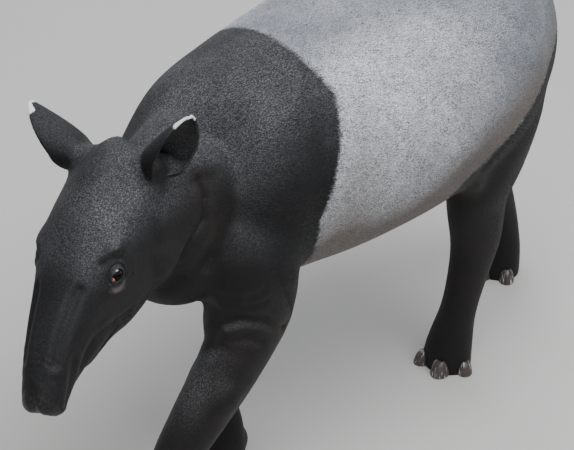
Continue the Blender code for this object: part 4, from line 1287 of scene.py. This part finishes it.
def growCoat(skin, material):
    blade = bladeShape()
    tree = tuftTree()
    names = coatRegions(skin)
    ids = {s.name: s.identifier for s in tree.interface.items_tree if s.in_out == "INPUT"}
    made = []
    for seed, (name, most) in enumerate(tufts["counts"].items()):
        bm = bmesh.new()
        bm.from_mesh(skin.data)
        bm.faces.ensure_lookup_table()
        bmesh.ops.delete(bm, geom=[f for f in bm.faces if names[f.index] != name], context="FACES")
        # the density that spends the piece's tufts, thicker where they are small
        sizeOf, coverOf = bm.verts.layers.float["tuftSize"], bm.verts.layers.float["cover"]
        room = sum(f.calc_area() * sum(v[coverOf] / v[sizeOf] for v in f.verts) / len(f.verts)
                   for f in bm.faces)
        piece = addObject(name, meshFrom(name, bm))
        unwrap(piece)
        grow = piece.modifiers.new("tufts", "NODES")
        grow.node_group = tree
        values = {"Blade": blade, "Material": material, "Density": most * 0.985 / room, "Seed": seed + 1}
        values.update({key.capitalize(): tufts[key]
                       for key in ("length", "width", "lift", "jitter", "patch")})
        for key, value in values.items():
            grow[ids[key]] = value
        applyModifiers(piece)
        mesh = piece.data
        for spare in ("unwrap", "bladeUv", "lie", "cover", "tuftSize", "lids", "lowerLid", "bare"):
            if spare in mesh.attributes:
                mesh.attributes.remove(mesh.attributes[spare])
        made.append(piece)
        print(name, len(mesh.polygons), "triangles, maps", [u.name for u in mesh.uv_layers])
    bpy.data.objects.remove(blade)
    return made


def unwrap(piece):
    mesh = piece.data
    mesh.uv_layers.new(name="unwrap")
    for other in bpy.context.view_layer.objects:
        other.select_set(False)
    piece.select_set(True)
    bpy.context.view_layer.objects.active = piece
    bpy.ops.object.mode_set(mode="EDIT")
    bpy.ops.mesh.select_all(action="SELECT")
    bpy.ops.uv.smart_project(angle_limit=math.radians(66), island_margin=0.004)
    bpy.ops.object.mode_set(mode="OBJECT")


eyeTones = {
    "pupil": (0.001, 0.001, 0.001),
    "iris": ((0.004, 0.003, 0.003), (0.018, 0.012, 0.010)),
    "irisEdge": (0.003, 0.002, 0.002),
    "white": ((0.006, 0.004, 0.004), (0.012, 0.008, 0.008)),
    "corner": ((0.36, 0.060, 0.060), (0.46, 0.15, 0.14)),
}


def eyeMesh(side):
    radius = eye["radius"]
    bm = bmesh.new()
    bmesh.ops.create_uvsphere(bm, u_segments=48, v_segments=36, radius=radius)
    # the clear front stands a little proud
    for vert in bm.verts:
        vert.co *= 0.995 + 0.045 * max(0.0, vert.co.z / radius - 0.80)
    mesh = meshFrom("eye", bm)
    gaze = np.degrees(np.arccos(np.clip(unit(readPoints(mesh))[:, 2], -1, 1)))
    writeField(mesh, "gaze", gaze)
    mesh.transform(headMatrix() @ eyePlace(side) @ Matrix.Rotation(math.radians(-90 * side), 4, "X"))
    points = readPoints(mesh)
    writeField(mesh, "upper", (points - points.mean(0))[:, 2] / radius)
    return mesh


def eyeFinish():
    # from the pupil outward, by degrees off the gaze; the upper half of the ball shows the sky
    material, tree, shader = newMaterial("eye_gloss")
    gaze, upper = field(tree, "gaze"), field(tree, "upper")
    rays = hairNoise(tree, objectPlace(tree), (500, 500, 500), 4.0)
    colour = mixColour(tree, remap(tree, gaze, 16.0, 19.0), eyeTones["pupil"],
                       mixColour(tree, rays, *eyeTones["iris"]))
    colour = mixColour(tree, remap(tree, gaze, 38.0, 45.0), colour, eyeTones["irisEdge"])
    colour = mixColour(tree, remap(tree, gaze, 56.0, 62.0), colour, mixColour(tree, rays, *eyeTones["white"]))
    tree.links.new(colour, shader.inputs["Base Color"])
    tree.links.new(remap(tree, upper, 0.16, 0.42, 0.02, 0.9), shader.inputs["Specular IOR Level"])
    tree.links.new(remap(tree, upper, 0.16, 0.42, 0.0, 0.8), shader.inputs["Coat Weight"])
    setInputs(shader, Roughness=0.10, Coat_Roughness=0.02)
    return material


def cornerMesh(side):
    # the red corner of the eye
    mesh = roundMass("eyeCorner", (0.0116, 0.0078 * side, -0.0050), (0.0040, 0.0024, 0.0034), (0, -28, 0))
    mesh.transform(headMatrix() @ eyePlace(side))
    return mesh


def cornerFinish():
    material, tree, shader = newMaterial("eye_corner")
    colour = mixColour(tree, noiseNode(tree, objectPlace(tree), 700), *eyeTones["corner"])
    tree.links.new(colour, shader.inputs["Base Color"])
    setInputs(shader, Roughness=0.25, Coat_Weight=0.5)
    return material


hoof = {
    # up from the sole: height, reach ahead, half width
    "profile": [(0.0, 0.0300, 0.0200), (0.004, 0.0305, 0.0205), (0.014, 0.028, 0.0192),
                (0.026, 0.022, 0.0160), (0.034, 0.014, 0.0105)],
    "back": -0.010,
    "steps": 3,
    "across": 22,
    "ridge": 0.00022,
    "clear": (0.0004, 0.0003),  # how far it lies inside the solid, ahead and aside
    "horn": ((0.030, 0.024, 0.021), (0.095, 0.078, 0.068)),
    # pale streaks: partly the horn's own colour, partly painted highlight
    "streak": (0.74, 0.72, 0.72),
    "sole": (0.10, 0.08, 0.065),
}


def hoofMesh(place, scale, seed):
    count = hoof["across"]
    top = hoof["profile"][-1][0]
    clearAhead, clearAside = hoof["clear"]
    bm = bmesh.new()
    tall = bm.verts.layers.float.new("tall")
    side = bm.verts.layers.float.new("side")
    rings = []
    for height, ahead, wide in splineRows(hoof["profile"], hoof["steps"]):
        ridge = hoof["ridge"] * math.sin(height * 2100 + seed)
        ring = []
        for k in range(count):
            a = math.pi * (k / (count - 1) - 0.5)
            x = math.cos(a) ** 0.8 * (ahead + ridge - clearAhead)
            ring.append((x, math.sin(a) * (wide + ridge - clearAside), a))
        ring += [(hoof["back"], wide * 0.8, 2.0), (hoof["back"], -wide * 0.8, -2.0)]
        row = []
        for x, y, a in ring:
            vert = bm.verts.new(Vector((x, y, height)) * scale)
            vert[tall], vert[side] = height / top, a
            row.append(vert)
        rings.append(row)
    around = count + 2
    for a, b in zip(rings, rings[1:]):
        for k in range(around):
            bm.faces.new((a[k], a[(k + 1) % around], b[(k + 1) % around], b[k]))
    bm.faces.new(rings[0])
    bm.faces.new(rings[-1])
    bmesh.ops.recalc_face_normals(bm, faces=bm.faces)
    bmesh.ops.triangulate(bm, faces=[f for f in bm.faces if len(f.verts) > 4])
    mesh = meshFrom("hoof", bm)
    mesh.transform(place)
    return mesh


def hoofFinish():
    # grey-brown horn with pale streaks from crown to sole, partly the horn's own and partly painted
    # highlight, darker where it meets the ground
    material, tree, shader = newMaterial("hoof_horn")
    at = objectPlace(tree)
    tall, side = field(tree, "tall"), field(tree, "side")
    down = step(tree, "ShaderNodeCombineXYZ", 0, {0: times(tree, side, 2.6), 1: times(tree, tall, 0.7)})
    streaksAndHighlights = noiseNode(tree, vectorSum(tree, down, stretch(tree, at, (9, 9, 0))), 2.2, 4.0, 0.6)
    colour = mixColour(tree, noiseNode(tree, at, 60, 4.0), *hoof["horn"])
    # pale streaks, partly painted highlight
    colour = mixColour(tree, remap(tree, streaksAndHighlights, 0.57, 0.66), colour, hoof["streak"])
    colour = mixColour(tree, times(tree, remap(tree, tall, 0.18, 0.0), 0.6), colour, hoof["sole"])
    tree.links.new(colour, shader.inputs["Base Color"])
    tree.links.new(remap(tree, streaksAndHighlights, 0.4, 0.7, 0.55, 0.28), shader.inputs["Roughness"])
    addBump(tree, shader, hairNoise(tree, at, (30, 30, 900), 2.0, 0.5), 0.4, 0.0006)
    setInputs(shader, Coat_Weight=0.15)
    return material


fleshNodes = ["head", "proboscis", "lower_jaw", "ear_left", "ear_right", "neck", "forequarters", "saddle",
              "tail", "foreleg_left", "foreleg_right", "forefoot_left", "forefoot_right", "hindleg_left",
              "hindleg_right", "hindfoot_left", "hindfoot_right"]


def settle(thing, *replaced, slot=None):
    thing.data.transform(Matrix.Translation(packedShift))
    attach(thing, "root")
    if replaced:
        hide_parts(*replaced)


def faceCount(thing):
    return sum(len(p.vertices) - 2 for p in thing.data.polygons)


def thinSkin(most=194000):
    # the coat grows from the fine skin; the one kept under it has fewer faces, most at the head and folds
    thin = skin.modifiers.new("thin", "DECIMATE")
    thin.ratio = most / faceCount(skin)
    applyModifiers(skin)
    skin.data.validate()
    print("skin thinned:", faceCount(skin), "triangles")


def madeOf(material, name, mesh, test=lambda face: True):
    thing = addObject(name, mesh)
    thing.data.materials.append(material)
    smoothFaces(thing, test)
    return thing


markings, grain = markingsGroup(), grainGroup()
skin.data.materials.clear()
skin.data.materials.append(skinFinish(markings, grain))
coatPieces = growCoat(skin, tuftFinish(markings))
thinSkin()
settle(skin, *fleshNodes, slot="black_coat")
for piece in coatPieces:
    settle(piece, slot="pale_coat" if "Saddle" in piece.name else "black_coat")
print("coat grown:", sum(faceCount(p) for p in coatPieces), "triangles")

gloss, corner = eyeFinish(), cornerFinish()
for name, node, side in (("eyeLeft", "eye_left", 1), ("eyeRight", "eye_right", -1)):
    settle(madeOf(gloss, name, eyeMesh(side)), node, slot="eye_gloss")
    settle(madeOf(corner, name + "Corner", cornerMesh(side)), slot="eye_gloss")
print("eyes set")

horn = hoofFinish()
for foot, number, place, scale in eachToe():
    node = f"hoof_{foot}_{number}"
    mesh = hoofMesh(place, scale, (number - 1) * 1.7 + len(foot))
    settle(madeOf(horn, node + "_horn", mesh, lambda face: len(face.vertices) == 4), node, slot="hoof_horn")
print("hooves set")
